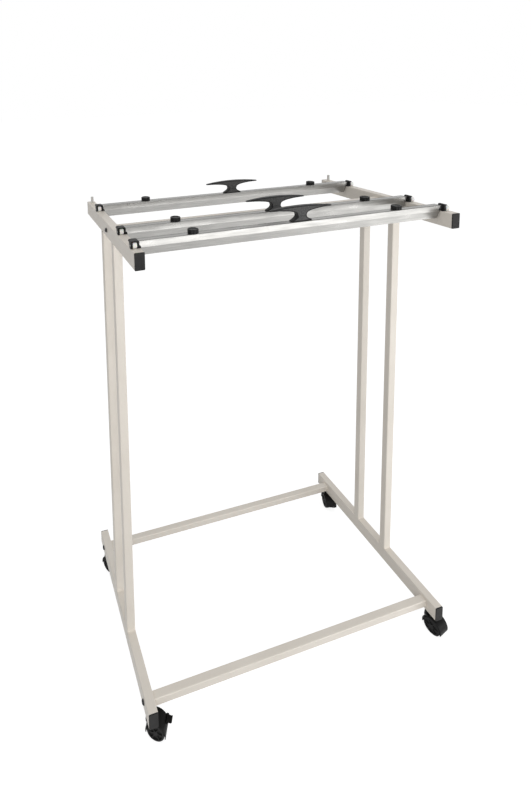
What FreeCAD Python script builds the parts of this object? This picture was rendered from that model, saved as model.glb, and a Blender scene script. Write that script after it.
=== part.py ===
"""Mobile rack that hangs large drawings from three sliding clamp bars.

Axes: X runs left to right, Y from front to rear, Z up. The origin is on the floor, under the
middle of the frame. Every length is in millimetres.
"""

import FreeCAD, Part
import math
import os

V = FreeCAD.Vector
X_AXIS = V(1, 0, 0)
Y_AXIS = V(0, 1, 0)
Z_AXIS = V(0, 0, 1)

# ---------------------------------------------------------------- overall sizes
RACK_WIDTH = 1100.0  # over the outer faces of the two side frames
ARM_LENGTH = 630.0  # arms and base rails, over their end caps
ARM_TOP = 1545.0  # floor to the top of the arms

# ---------------------------------------------------------------- frame tubes
SIDE_TUBE_WIDTH = 30.0
SIDE_TUBE_HEIGHT = 50.0
UPRIGHT_DEPTH = 25.0
UPRIGHT_PITCH = 140.0  # between the centres of the two uprights of a side
CROSS_TUBE = 25.0
TUBE_WALL = 1.5
TUBE_CORNER = 3.0
CROSS_RAIL_SETBACK = 53.0  # from the base rails' ends to the middle of each cross rail

# ---------------------------------------------------------------- caps, pins and fasteners
CAP_FLANGE = 3.0
CAP_EDGE = 0.8
CAP_PLUG_DEPTH = 14.0
CAP_PLUG_WALL = 2.0
CAP_CLEARANCE = 0.15
PIN_SETBACK = 25.0  # stop pin's axis in front of the arms' rear end
PIN_DIAMETER = 10.5
PIN_HEIGHT = 24.0
PIN_EDGE = 1.2
PIN_SPIGOT_DIAMETER = 6.0
PIN_SPIGOT_LENGTH = 12.0
BOLT_DIAMETER = 8.0
BOLT_REACH = 20.0  # thread beyond the side tube
BOLT_HEAD_DIAMETER = 14.0
BOLT_HEAD_HEIGHT = 4.2
BOLT_HEAD_EDGE = 2.0
BOLT_SOCKET = 5.0
BOLT_SOCKET_DEPTH = 2.4
WASHER_DIAMETER = 16.0
WASHER_THICKNESS = 1.2
INSERT_LENGTH = 25.0
HOLE_CLEARANCE = 0.2  # radial, round a bolt or spigot in a plain hole
FIT_CLEARANCE = 0.05  # radial, for a thread, a press fit or a running fit
FACE_GAP = 0.3  # between neighbouring faces that move past each other

# ---------------------------------------------------------------- castors
CASTOR_SETBACK = 43.0  # from the base rails' ends to each castor stem
WHEEL_RADIUS = 27.5
WHEEL_WIDTH = 14.4
WHEEL_EDGE = 1.8
WHEEL_TRAIL = 23.0
WEB_THICKNESS = 11.0
HOOD_WIDTH = 47.0
HOOD_CLEARANCE = 1.9  # round the wheels, inside the hood
HOOD_WALL = 2.6
HOOD_HEADROOM = 5.5  # from the hood's crown to the underside of the base rails
HOOD_EDGE = 1.6
HOOD_TRAIL_ANGLE = -12.0  # lower edge of the hood on the trailing side, from level
HOOD_STEM_ANGLE = 191.0  # lower edge of the hood on the stem side
AXLE_DIAMETER = 6.0
AXLE_LENGTH = 41.0
AXLE_BOSS_RADIUS = 8.0
STEM_DIAMETER = 10.0
STEM_WALL = 2.3
STEM_SEAT_RISE = 2.5  # lower end of the stem above the wheels' axis
STEM_COLLAR_HEIGHT = 4.2
STEM_COLLAR_FLATS = 17.0
STEM_REACH = 14.0  # stem above the underside of the base rail
STEM_BASE_RADIUS = 13.0
NUT_HEIGHT = 8.0
NUT_FLATS = 16.0
HUB_RADIUS = 7.0
DISH_RADIUS = 21.5
DISH_DEPTH = 3.0
SPOKE_COUNT = 6
SPOKE_THICKNESS = 2.4
LEVER_THICKNESS = 3.2
LEVER_WIDTH = 18.0
LEVER_OFFSET = 13.0  # lever's middle from the castor's middle plane
LEVER_ANGLE = 30.0  # pivot's place on the hood, above level
LEVER_LENGTH = 15.0
LEVER_PIN_DIAMETER = 3.0
LEVER_EAR = 2.6

# Resting swivel of each castor: the way it trails, turned from straight forward to the right.
CASTORS = {
    "front_left": (-1, -1, 57.0),
    "front_right": (1, -1, 13.0),
    "rear_left": (-1, 1, 31.0),
    "rear_right": (1, 1, -17.0),
}
BRAKED_CASTOR = "front_left"

# ---------------------------------------------------------------- clamps
FRONT_CLAMP_SETBACK = 34.0  # front of its end brackets behind the arms' front ends
MIDDLE_CLAMP_SETBACK = 169.0
REAR_CLAMP_SETBACK = 165.0  # front of its end brackets before the arms' rear ends
CHANNEL_DEPTH = 26.0
CHANNEL_RISE = 18.0  # top above the arms' top face
CHANNEL_DROP = 25.0  # lower edge below the arms' top face
CHANNEL_KNEE = -1.0  # where the walls begin to lean in
CHANNEL_MOUTH = 14.0  # over the two lips
CHANNEL_WALL = 2.0
CHANNEL_CORNER = 1.6
CHANNEL_NOSE = 10.0  # brackets stand this far in front of the channel
CHANNEL_OVERRUN = 4.5  # upper walls run this far over the arms
CHANNEL_NOTCH = 5.0  # height of the notch that clears the arms
ARM_CLEARANCE = 1.5  # from the lower walls to the arm's inner face
END_RAKE = 6.0  # lower walls' ends lean in by this much
GROOVE_WIDTH = 2.0
GROOVE_DEPTH = 0.9
GROOVE_INSET = 1.6
BAR_TOP = 3.0  # top of the wedge bar above the arms' top face
BAR_END_INSET = 24.0
BAR_WALL = 2.2
BAR_CROWN = 8.0  # solid upper part of the wedge bar, which holds the studs
BAR_LIFT = 6.0

KNOB_POSITION = 355.0
KNOB_DIAMETER = 32.0
KNOB_HEIGHT = 13.0
KNOB_FLUTES = 10
KNOB_FLUTE_RADIUS = 3.4
KNOB_EDGE = 1.2
STUD_DIAMETER = 8.0
STUD_SOCKET_DEPTH = 6.0
BUSH_DIAMETER = 14.0
BUSH_HEIGHT = 5.0

HANDLE_LENGTH = 214.0
HANDLE_HEIGHT = 48.0
HANDLE_WAIST = 34.0
HANDLE_WAIST_HEIGHT = 15.0
HANDLE_BASE_LENGTH = 70.0
HANDLE_BASE_DEPTH = 22.0
HANDLE_BASE_EDGE = 3.0
HANDLE_GRIP_DEPTH = 18.0
HANDLE_TIP_DEPTH = 8.0
HANDLE_TIP_THICKNESS = 3.6
HANDLE_TIP_DROP = 7.0
HANDLE_EDGE = 1.5
HANDLE_SCREW_PITCH = 44.0
HANDLE_SCREW_DIAMETER = 5.0
HANDLE_SCREW_DEPTH = 8.0

BRACKET_WIDTH = 25.5
BRACKET_DEPTH = 24.0
BRACKET_INNER_LEG = 6.5
BRACKET_OUTER_LEG = 6.0
BRACKET_OUTER_DEPTH = 17.0
OPEN_BRACKET_WIDTH = 12.0  # roof of the right brackets, which have no outer leg
BRACKET_CROWN = 3.5
BRACKET_SHOULDER = 6.0
ARCH_HEIGHT = 19.0  # inside of the arch above the arm
ARCH_CORNER = 2.0
BRACKET_FOOT_REACH = 5.2
BRACKET_FOOT_TOP = 4.6
BRACKET_FOOT_DEPTH = 9.7
BRACKET_LIFT = 0.5  # legs above the arm
SPIGOT_LENGTH = 24.0
SPIGOT_CLEARANCE = 0.2
SPIGOT_SCREW_DIAMETER = 4.0
SPIGOT_SCREW_HEAD = 7.5
SPIGOT_SCREW_HEAD_HEIGHT = 2.2
SPIGOT_SCREW_LENGTH = 12.0
ROLLER_DIAMETER = 17.5
ROLLER_EDGE = 2.0
ROLLER_GAP = 0.25  # roller above the arm
ROLLER_SIDE_GAP = 0.4
ROLLER_SETBACK = 5.0  # roller's axis behind the bracket's front
ROLLER_PIN_DIAMETER = 4.0
ROLLER_PIN_INSET = 2.5  # blind end of the pin, inside the inner leg
ROLLER_PIN_HEAD = 8.0  # head of the right pins, outside the roller
ROLLER_PIN_HEAD_HEIGHT = 1.4

# ---------------------------------------------------------------- places worked out from these
SIDE_X = RACK_WIDTH / 2 - SIDE_TUBE_WIDTH / 2
INNER_X = RACK_WIDTH / 2 - SIDE_TUBE_WIDTH
TUBE_END_Y = ARM_LENGTH / 2 - CAP_FLANGE
ARM_BOTTOM = ARM_TOP - SIDE_TUBE_HEIGHT
HOOD_RADIUS = WHEEL_RADIUS + HOOD_CLEARANCE + HOOD_WALL
CASTOR_HEIGHT = WHEEL_RADIUS + HOOD_RADIUS + HOOD_HEADROOM  # floor to the base rails' underside
CASTOR_PITCH = ARM_LENGTH - 2 * CASTOR_SETBACK
STEM_SEAT = WHEEL_RADIUS + STEM_SEAT_RISE  # floor to the lower end of the stem
RAIL_TOP = CASTOR_HEIGHT + SIDE_TUBE_HEIGHT
CROSS_RAIL_Z = CASTOR_HEIGHT + SIDE_TUBE_HEIGHT / 2
TOP_BAR_Z = ARM_TOP - SIDE_TUBE_HEIGHT / 2
CROSS_RAIL_PITCH = ARM_LENGTH - 2 * CROSS_RAIL_SETBACK
CROSS_TUBES = {
    "top_cross_bar": (0.0, TOP_BAR_Z),
    "front_cross_rail": (-CROSS_RAIL_PITCH / 2, CROSS_RAIL_Z),
    "rear_cross_rail": (CROSS_RAIL_PITCH / 2, CROSS_RAIL_Z),
}
STEM_COLLAR_BOTTOM = CASTOR_HEIGHT - STEM_COLLAR_HEIGHT
HOOD_TOP = STEM_COLLAR_BOTTOM - FACE_GAP
CHANNEL_TOP = ARM_TOP + CHANNEL_RISE
CHANNEL_BOTTOM = ARM_TOP - CHANNEL_DROP
CHANNEL_END = INNER_X + CHANNEL_OVERRUN
LOWER_END = INNER_X - ARM_CLEARANCE
CLAMP_FRONTS = {
    "front": FRONT_CLAMP_SETBACK - ARM_LENGTH / 2,
    "middle": MIDDLE_CLAMP_SETBACK - ARM_LENGTH / 2,
    "rear": ARM_LENGTH / 2 - REAR_CLAMP_SETBACK,
}


# ---------------------------------------------------------------- plain shapes
def box(x_limits, y_limits, z_limits):
    """Solid box between three pairs of limits."""
    corner = V(x_limits[0], y_limits[0], z_limits[0])
    return Part.makeBox(
        x_limits[1] - x_limits[0], y_limits[1] - y_limits[0], z_limits[1] - z_limits[0], corner
    )


def rod(diameter, start, direction, length):
    """Solid round bar from a start point."""
    return Part.makeCylinder(diameter / 2, length, start, direction)


def hexagon_bar(flats, start, height):
    """Upright hexagonal bar, measured across its flats."""
    radius = flats / 2 / math.cos(math.pi / 6)
    corners = [
        start + V(radius * math.cos(k * math.pi / 3), radius * math.sin(k * math.pi / 3), 0)
        for k in range(7)
    ]
    return Part.Face(Part.makePolygon(corners)).extrude(Z_AXIS * height)


def prism(corners, direction):
    """Flat polygon of points, pushed along a direction."""
    return Part.Face(Part.makePolygon(corners + corners[:1])).extrude(direction)


def edges_along(shape, axis):
    """Straight edges of a shape that run along an axis."""
    found = []
    for edge in shape.Edges:
        if isinstance(edge.Curve, Part.Line):
            if abs(abs(edge.tangentAt(edge.FirstParameter).dot(axis)) - 1) < 1e-6:
                found.append(edge)
    return found


def rounded_box(x_limits, y_limits, z_limits, axis, corner):
    """Box whose four edges along one axis are rounded."""
    solid = box(x_limits, y_limits, z_limits)
    return solid.makeFillet(corner, edges_along(solid, axis))


def shrunk(limits, amount):
    """Pair of limits moved in by an amount at both ends."""
    return limits[0] + amount, limits[1] - amount


def tube(x_limits, y_limits, z_limits, axis):
    """Rectangular steel tube that runs along an axis, open at both ends."""
    outer = rounded_box(x_limits, y_limits, z_limits, axis, TUBE_CORNER)
    walls = [TUBE_WALL * (1 - component) for component in axis]
    hollow = rounded_box(
        shrunk(x_limits, walls[0]),
        shrunk(y_limits, walls[1]),
        shrunk(z_limits, walls[2]),
        axis,
        TUBE_CORNER - TUBE_WALL,
    )
    return outer.cut(hollow)


def around(centre, size):
    """Limits of a given size about a centre."""
    return centre - size / 2, centre + size / 2


def mirrored(shape, side):
    """Shape made for the right, or its mirror image for the left."""
    return shape if side > 0 else shape.mirror(V(0, 0, 0), X_AXIS)


def export(name, *solids):
    """Write one node from its separate solids."""
    shape = solids[0] if len(solids) == 1 else Part.makeCompound(list(solids))
    shape.exportStep(f"parts/{name}.step")


# ---------------------------------------------------------------- frame
def side_tube(side, bottom, drilled_tubes):
    """Arm or base rail of one side, drilled for the bolts of the cross tubes that meet it."""
    solid = tube(
        around(side * SIDE_X, SIDE_TUBE_WIDTH),
        (-TUBE_END_Y, TUBE_END_Y),
        (bottom, bottom + SIDE_TUBE_HEIGHT),
        Y_AXIS,
    )
    start_x = side * SIDE_X - SIDE_TUBE_WIDTH
    for y, z in drilled_tubes:
        hole_diameter = BOLT_DIAMETER + 2 * HOLE_CLEARANCE
        solid = solid.cut(rod(hole_diameter, V(start_x, y, z), X_AXIS, 2 * SIDE_TUBE_WIDTH))
    return solid


def arm(side):
    """Level arm that carries the clamps, with the hole of its stop pin."""
    solid = side_tube(side, ARM_BOTTOM, [CROSS_TUBES["top_cross_bar"]])
    hole_start = V(side * SIDE_X, ARM_LENGTH / 2 - PIN_SETBACK, ARM_TOP - SIDE_TUBE_HEIGHT / 2)
    hole_diameter = PIN_SPIGOT_DIAMETER + 2 * FIT_CLEARANCE
    return solid.cut(rod(hole_diameter, hole_start, Z_AXIS, SIDE_TUBE_HEIGHT))


def base_rail(side):
    """Base rail, drilled for the two cross rails and the two castor stems."""
    cross_rails = [CROSS_TUBES["front_cross_rail"], CROSS_TUBES["rear_cross_rail"]]
    solid = side_tube(side, CASTOR_HEIGHT, cross_rails)
    for end in (-1, 1):
        start = V(side * SIDE_X, end * CASTOR_PITCH / 2, 0)
        solid = solid.cut(rod(STEM_DIAMETER + 2 * FIT_CLEARANCE, start, Z_AXIS, CROSS_RAIL_Z))
    return solid


def upright(side, end):
    """Upright tube between a base rail and an arm."""
    return tube(
        around(side * SIDE_X, SIDE_TUBE_WIDTH),
        around(end * UPRIGHT_PITCH / 2, UPRIGHT_DEPTH),
        (RAIL_TOP, ARM_BOTTOM),
        Z_AXIS,
    )


def cross_tube(y, z):
    """Square tube between the two side frames."""
    return tube((-INNER_X, INNER_X), around(y, CROSS_TUBE), around(z, CROSS_TUBE), X_AXIS)


def cross_tube_insert(side, y, z):
    """Square threaded plug inside the end of a cross tube."""
    size = CROSS_TUBE - 2 * TUBE_WALL - 2 * CAP_CLEARANCE
    outer_end = INNER_X - FACE_GAP
    solid = rounded_box(
        (outer_end - INSERT_LENGTH, outer_end),
        around(y, size),
        around(z, size),
        X_AXIS,
        TUBE_CORNER - TUBE_WALL,
    )
    bore_start = V(outer_end - INSERT_LENGTH, y, z)
    bore = rod(BOLT_DIAMETER + 2 * FIT_CLEARANCE, bore_start, X_AXIS, INSERT_LENGTH)
    return mirrored(solid.cut(bore), side)


def frame_bolt(side, y, z):
    """Button-head bolt through a side tube, and its washer."""
    outer_face = RACK_WIDTH / 2
    washer = rod(WASHER_DIAMETER, V(outer_face, y, z), X_AXIS, WASHER_THICKNESS)
    washer = washer.cut(
        rod(BOLT_DIAMETER + 2 * HOLE_CLEARANCE, V(outer_face, y, z), X_AXIS, WASHER_THICKNESS)
    )
    seat = outer_face + WASHER_THICKNESS
    head = rod(BOLT_HEAD_DIAMETER, V(seat, y, z), X_AXIS, BOLT_HEAD_HEIGHT)
    rim = [edge for edge in head.Edges if abs(edge.CenterOfMass.x - seat - BOLT_HEAD_HEIGHT) < 0.01]
    head = head.makeChamfer(BOLT_HEAD_EDGE, rim)
    socket = hexagon_bar(BOLT_SOCKET, V(0, 0, 0), BOLT_SOCKET_DEPTH)
    socket.rotate(V(0, 0, 0), Y_AXIS, 90)
    socket.translate(V(seat + BOLT_HEAD_HEIGHT - BOLT_SOCKET_DEPTH, y, z))
    shank_length = WASHER_THICKNESS + SIDE_TUBE_WIDTH + BOLT_REACH
    shank = rod(BOLT_DIAMETER, V(seat - shank_length, y, z), X_AXIS, shank_length)
    bolt = head.cut(socket).fuse(shank).removeSplitter()
    return [mirrored(bolt, side), mirrored(washer, side)]


def tube_end_cap(side, end, bottom):
    """Plastic cap of a side tube: a rounded flange and a hollow plug."""
    x_limits = around(side * SIDE_X, SIDE_TUBE_WIDTH)
    z_limits = (bottom, bottom + SIDE_TUBE_HEIGHT)
    flange = rounded_box(x_limits, (TUBE_END_Y, ARM_LENGTH / 2), z_limits, Y_AXIS, TUBE_CORNER)
    front = [edge for edge in flange.Edges if edge.CenterOfMass.y > ARM_LENGTH / 2 - 0.01]
    flange = flange.makeChamfer(CAP_EDGE, front)
    inset = TUBE_WALL + CAP_CLEARANCE
    plug_limits = (TUBE_END_Y - CAP_PLUG_DEPTH, TUBE_END_Y)
    corner = TUBE_CORNER - TUBE_WALL
    plug = rounded_box(shrunk(x_limits, inset), plug_limits, shrunk(z_limits, inset), Y_AXIS, corner)
    hollow_inset = inset + CAP_PLUG_WALL
    hollow = box(shrunk(x_limits, hollow_inset), plug_limits, shrunk(z_limits, hollow_inset))
    solid = flange.fuse(plug.cut(hollow)).removeSplitter()
    return solid if end > 0 else solid.mirror(V(0, 0, 0), Y_AXIS)


def rear_stop_pin(side):
    """Round pin near the rear end of an arm, which stops the clamps."""
    base = V(side * SIDE_X, ARM_LENGTH / 2 - PIN_SETBACK, ARM_TOP)
    post = rod(PIN_DIAMETER, base, Z_AXIS, PIN_HEIGHT)
    rim = [edge for edge in post.Edges if edge.CenterOfMass.z > ARM_TOP + PIN_HEIGHT - 0.01]
    post = post.makeChamfer(PIN_EDGE, rim)
    spigot = rod(PIN_SPIGOT_DIAMETER, base - Z_AXIS * PIN_SPIGOT_LENGTH, Z_AXIS, PIN_SPIGOT_LENGTH)
    return post.fuse(spigot).removeSplitter()


def castor_stem(side, end):
    """Castor stem with its hexagonal collar, and the lock nut inside the base rail."""
    axis = V(side * SIDE_X, end * CASTOR_PITCH / 2, 0)
    length = CASTOR_HEIGHT + STEM_REACH - STEM_SEAT
    stem = rod(STEM_DIAMETER, axis + Z_AXIS * STEM_SEAT, Z_AXIS, length)
    collar_start = axis + Z_AXIS * STEM_COLLAR_BOTTOM
    stem = stem.fuse(hexagon_bar(STEM_COLLAR_FLATS, collar_start, STEM_COLLAR_HEIGHT))
    nut_start = axis + Z_AXIS * (CASTOR_HEIGHT + TUBE_WALL)
    bore = rod(STEM_DIAMETER + 2 * FIT_CLEARANCE, nut_start, Z_AXIS, NUT_HEIGHT)
    nut = hexagon_bar(NUT_FLATS, nut_start, NUT_HEIGHT).cut(bore)
    return [stem.removeSplitter(), nut]


def export_frame():
    """Write the nodes of the frame."""
    sides = {"left": -1, "right": 1}
    ends = {"front": -1, "rear": 1}
    corners = [(side, end) for side in sides.values() for end in ends.values()]
    for side_name, side in sides.items():
        export(f"{side_name}_arm", arm(side))
        export(f"{side_name}_base_rail", base_rail(side))
        for end_name, end in ends.items():
            export(f"{side_name}_{end_name}_upright", upright(side, end))
    for name, (y, z) in CROSS_TUBES.items():
        export(name, cross_tube(y, z))
    joints = [(side, y, z) for side in sides.values() for y, z in CROSS_TUBES.values()]
    export("cross_tube_inserts", *[cross_tube_insert(*joint) for joint in joints])
    export("frame_bolts", *[solid for joint in joints for solid in frame_bolt(*joint)])
    bottoms = (CASTOR_HEIGHT, ARM_BOTTOM)
    export("tube_end_caps", *[tube_end_cap(*corner, z) for corner in corners for z in bottoms])
    export("rear_stop_pins", *[rear_stop_pin(side) for side in sides.values()])
    export("castor_stems", *[solid for corner in corners for solid in castor_stem(*corner)])


# ---------------------------------------------------------------- castors
# A castor is drawn about its stem, trailing along +X, with the wheels' axle along Y.
def wheel_plane_point(radius, angle, y):
    """Point at a radius and angle about the axle, in the plane of a wheel."""
    turn = math.radians(angle)
    return V(WHEEL_TRAIL + radius * math.cos(turn), y, WHEEL_RADIUS + radius * math.sin(turn))


def hood_sector(radius, width):
    """Solid sector about the axle that spans the hood's arc."""
    y = -width / 2
    centre = wheel_plane_point(0, 0, y)
    start = wheel_plane_point(radius, HOOD_TRAIL_ANGLE, y)
    middle = wheel_plane_point(radius, (HOOD_TRAIL_ANGLE + HOOD_STEM_ANGLE) / 2, y)
    end = wheel_plane_point(radius, HOOD_STEM_ANGLE, y)
    rim = Part.Arc(start, middle, end).toShape()
    sides = [Part.makeLine(end, centre), Part.makeLine(centre, start)]
    return Part.Face(Part.Wire([rim] + sides)).extrude(Y_AXIS * width)


def wheel_bay(side):
    """Space that a wheel turns in, open at the side of the hood."""
    start = wheel_plane_point(0, 0, side * WEB_THICKNESS / 2)
    return rod(2 * (HOOD_RADIUS - HOOD_WALL), start, Y_AXIS * side, HOOD_WIDTH)


def castor_hood(braked):
    """Hood over both wheels, with the web between them, the stem boss and the axle boss."""
    hood = hood_sector(HOOD_RADIUS, HOOD_WIDTH)
    rims = [edge for edge in hood.Edges if isinstance(edge.Curve, Part.Circle)]
    hood = hood.makeChamfer(HOOD_EDGE, rims)
    neck_bottom = WHEEL_RADIUS + HOOD_RADIUS / 3
    neck = Part.makeCone(
        STEM_BASE_RADIUS, STEM_BASE_RADIUS * 0.8, HOOD_TOP - neck_bottom, V(0, 0, neck_bottom)
    )
    axle_boss = rod(
        2 * AXLE_BOSS_RADIUS, wheel_plane_point(0, 0, -WEB_THICKNESS / 2), Y_AXIS, WEB_THICKNESS
    )
    hood = hood.fuse([neck, axle_boss])
    for side in (-1, 1):
        hood = hood.cut(wheel_bay(side))
    boss_bottom = STEM_SEAT - STEM_WALL - FACE_GAP
    boss = rod(
        STEM_DIAMETER + 2 * STEM_WALL, V(0, 0, boss_bottom), Z_AXIS, HOOD_TOP - boss_bottom
    )
    hood = hood.fuse(boss)
    if braked:
        hood = hood.fuse(lever_ears())
    bore_bottom = STEM_SEAT - FACE_GAP
    stem_bore = rod(
        STEM_DIAMETER + 2 * FIT_CLEARANCE, V(0, 0, bore_bottom), Z_AXIS, CASTOR_HEIGHT
    )
    axle_bore = rod(
        AXLE_DIAMETER + 2 * FIT_CLEARANCE, wheel_plane_point(0, 0, -HOOD_WIDTH), Y_AXIS, 2 * HOOD_WIDTH
    )
    return hood.cut(stem_bore).cut(axle_bore).removeSplitter()


def castor_wheel(side):
    """Moulded wheel with a rounded tread, a dished and spoked outer face and a blind hub."""
    inner_face = STEM_DIAMETER / 2 + STEM_WALL + FACE_GAP
    centre = wheel_plane_point(0, 0, 0)
    wheel = rod(2 * WHEEL_RADIUS, centre + Y_AXIS * inner_face, Y_AXIS, WHEEL_WIDTH)
    tread = [e for e in wheel.Edges if isinstance(e.Curve, Part.Circle)]
    wheel = wheel.makeChamfer(WHEEL_EDGE, tread)
    outer_face = inner_face + WHEEL_WIDTH
    dish_floor = centre + Y_AXIS * (outer_face - DISH_DEPTH)
    dish = rod(2 * DISH_RADIUS, dish_floor, Y_AXIS, DISH_DEPTH)
    dish = dish.cut(rod(2 * HUB_RADIUS, dish_floor, Y_AXIS, DISH_DEPTH))
    for k in range(SPOKE_COUNT):
        spoke = box((0, DISH_RADIUS), around(0, SPOKE_THICKNESS), (0, DISH_DEPTH))
        spoke.rotate(V(0, 0, 0), Z_AXIS, 360.0 * k / SPOKE_COUNT)
        spoke.rotate(V(0, 0, 0), X_AXIS, -90)
        spoke.translate(dish_floor)
        dish = dish.cut(spoke)
    wheel = wheel.cut(dish)
    inner_dish = rod(2 * DISH_RADIUS, centre + Y_AXIS * inner_face, Y_AXIS, DISH_DEPTH)
    inner_hub = rod(2 * HUB_RADIUS, centre + Y_AXIS * inner_face, Y_AXIS, DISH_DEPTH)
    wheel = wheel.cut(inner_dish.cut(inner_hub))
    bore_end = AXLE_LENGTH / 2 + FACE_GAP
    wheel = wheel.cut(rod(AXLE_DIAMETER + 2 * FIT_CLEARANCE, centre, Y_AXIS, bore_end))
    if side < 0:
        wheel = wheel.mirror(V(0, 0, 0), Y_AXIS)
    return wheel


def castor_axle():
    """Steel pin through the hood's web that both wheels turn on."""
    return rod(AXLE_DIAMETER, wheel_plane_point(0, 0, -AXLE_LENGTH / 2), Y_AXIS, AXLE_LENGTH)


def lever_pivot():
    """Middle of the brake lever's pivot, just outside the hood."""
    reach = HOOD_RADIUS + FACE_GAP + (LEVER_PIN_DIAMETER + LEVER_THICKNESS) / 2
    return wheel_plane_point(reach, LEVER_ANGLE, LEVER_OFFSET)


def lever_ears():
    """Two ears on the hood, joined by the pin that the brake lever turns on."""
    pivot = lever_pivot()
    pieces = []
    for side in (-1, 1):
        inner = LEVER_OFFSET + side * (LEVER_WIDTH / 2 + FACE_GAP)
        outer = inner - LEVER_EAR if side < 0 else inner
        root = wheel_plane_point(HOOD_RADIUS - HOOD_WALL / 2, LEVER_ANGLE, outer)
        along = V(pivot.x - root.x, 0, pivot.z - root.z)
        across = V(-along.z, 0, along.x).normalize() * LEVER_PIN_DIAMETER
        head = V(pivot.x, outer, pivot.z)
        ear = prism([root - across, root + across, head + across, head - across], Y_AXIS * LEVER_EAR)
        pieces.append(ear.fuse(rod(2 * LEVER_PIN_DIAMETER, head, Y_AXIS, LEVER_EAR)))
    pin_length = LEVER_WIDTH + 2 * FACE_GAP + 2 * LEVER_EAR
    pin_start = pivot - Y_AXIS * (pin_length / 2)
    pieces.append(rod(LEVER_PIN_DIAMETER, pin_start, Y_AXIS, pin_length))
    return pieces


def brake_lever():
    """Tab that is pressed down to brake the castor: a curled plate about its pivot."""
    pivot = lever_pivot()
    barrel_radius = LEVER_PIN_DIAMETER / 2 + LEVER_THICKNESS / 2
    start = pivot - Y_AXIS * (LEVER_WIDTH / 2)
    barrel = rod(2 * barrel_radius, start, Y_AXIS, LEVER_WIDTH)
    outline = [
        (0, -barrel_radius),
        (LEVER_LENGTH * 0.75, -barrel_radius * 0.4),
        (LEVER_LENGTH, LEVER_THICKNESS * 0.7),
        (LEVER_LENGTH, LEVER_THICKNESS * 1.6),
        (LEVER_LENGTH * 0.7, LEVER_THICKNESS * 0.9),
        (0, barrel_radius),
    ]
    plate = prism([start + V(x, 0, z) for x, z in outline], Y_AXIS * LEVER_WIDTH)
    bore = rod(LEVER_PIN_DIAMETER + 2 * FIT_CLEARANCE, start, Y_AXIS, LEVER_WIDTH)
    return barrel.fuse(plate).cut(bore).removeSplitter()


def placed_castor(solid, corner):
    """Castor piece turned to its resting swivel and set under its stem."""
    side, end, swivel = CASTORS[corner]
    piece = solid.copy()
    piece.rotate(V(0, 0, 0), Z_AXIS, swivel - 90)
    piece.translate(V(side * SIDE_X, end * CASTOR_PITCH / 2, 0))
    return piece


def export_castors():
    """Write the nodes of the four castors."""
    wheels = [castor_wheel(side) for side in (-1, 1)]
    for corner in CASTORS:
        hood = castor_hood(braked=corner == BRAKED_CASTOR)
        export(f"{corner}_castor_hood", placed_castor(hood, corner))
        export(f"{corner}_castor_wheels", *[placed_castor(wheel, corner) for wheel in wheels])
        export(f"{corner}_castor_axle", placed_castor(castor_axle(), corner))
    export(f"{BRAKED_CASTOR}_brake_lever", placed_castor(brake_lever(), BRAKED_CASTOR))


# ---------------------------------------------------------------- clamps
def inner_wall_offset(z):
    """Half width inside the channel at a height above the arms' top face."""
    straight = CHANNEL_DEPTH / 2 - CHANNEL_WALL
    lean = (CHANNEL_DEPTH - CHANNEL_MOUTH) / 2 / (CHANNEL_DROP + CHANNEL_KNEE)
    wall_across = CHANNEL_WALL * math.hypot(1, lean)
    leaning = CHANNEL_DEPTH / 2 - wall_across + lean * (z - CHANNEL_KNEE)
    return min(straight, leaning)


def inner_knee():
    """Height at which the straight and leaning inner walls meet."""
    lean = (CHANNEL_DEPTH - CHANNEL_MOUTH) / 2 / (CHANNEL_DROP + CHANNEL_KNEE)
    return CHANNEL_KNEE + CHANNEL_WALL * (math.hypot(1, lean) - 1) / lean


def section_points(half_outline, y_middle, x):
    """Closed outline, symmetric about the clamp's middle plane, at one x."""
    rear = [V(x, y_middle + y, ARM_TOP + z) for y, z in half_outline]
    front = [V(x, y_middle - y, ARM_TOP + z) for y, z in reversed(half_outline)]
    return rear + front


def clamp_channel(y_middle):
    """Extruded channel: straight upper walls, lower walls that lean in to two lips."""
    outer_half = [
        (CHANNEL_DEPTH / 2, CHANNEL_RISE),
        (CHANNEL_DEPTH / 2, CHANNEL_KNEE),
        (CHANNEL_MOUTH / 2, -CHANNEL_DROP),
    ]
    length = 2 * CHANNEL_END
    outer = prism(section_points(outer_half, y_middle, -CHANNEL_END), X_AXIS * length)
    long_edges = [e for e in edges_along(outer, X_AXIS) if e.CenterOfMass.z > CHANNEL_BOTTOM + 1]
    outer = outer.makeFillet(CHANNEL_CORNER, long_edges)
    roof = CHANNEL_RISE - CHANNEL_WALL
    inner_half = [
        (inner_wall_offset(roof), roof),
        (inner_wall_offset(roof), inner_knee()),
        (inner_wall_offset(-CHANNEL_DROP), -CHANNEL_DROP),
    ]
    inner = prism(section_points(inner_half, y_middle, -CHANNEL_END), X_AXIS * length)
    channel = outer.cut(inner)
    for side in (-1, 1):
        groove_middle = y_middle + side * (CHANNEL_DEPTH / 2 - GROOVE_INSET - GROOVE_WIDTH / 2)
        channel = channel.cut(
            box(
                (-CHANNEL_END, CHANNEL_END),
                around(groove_middle, GROOVE_WIDTH),
                (CHANNEL_TOP - GROOVE_DEPTH, CHANNEL_TOP),
            )
        )
        channel = channel.cut(mirrored(arm_notch(y_middle), side))
        channel = channel.cut(knob_hole(side * KNOB_POSITION, y_middle))
        channel = channel.cut(
            rod(
                HANDLE_SCREW_DIAMETER + 2 * HOLE_CLEARANCE,
                V(side * HANDLE_SCREW_PITCH / 2, y_middle, ARM_TOP),
                Z_AXIS,
                2 * CHANNEL_RISE,
            )
        )
        screw_start = V(side * spigot_screw_x(), y_middle, ARM_TOP + CHANNEL_RISE / 2)
        channel = channel.cut(
            rod(SPIGOT_SCREW_DIAMETER + 2 * HOLE_CLEARANCE, screw_start, Y_AXIS, CHANNEL_DEPTH)
        )
    return channel


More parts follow.
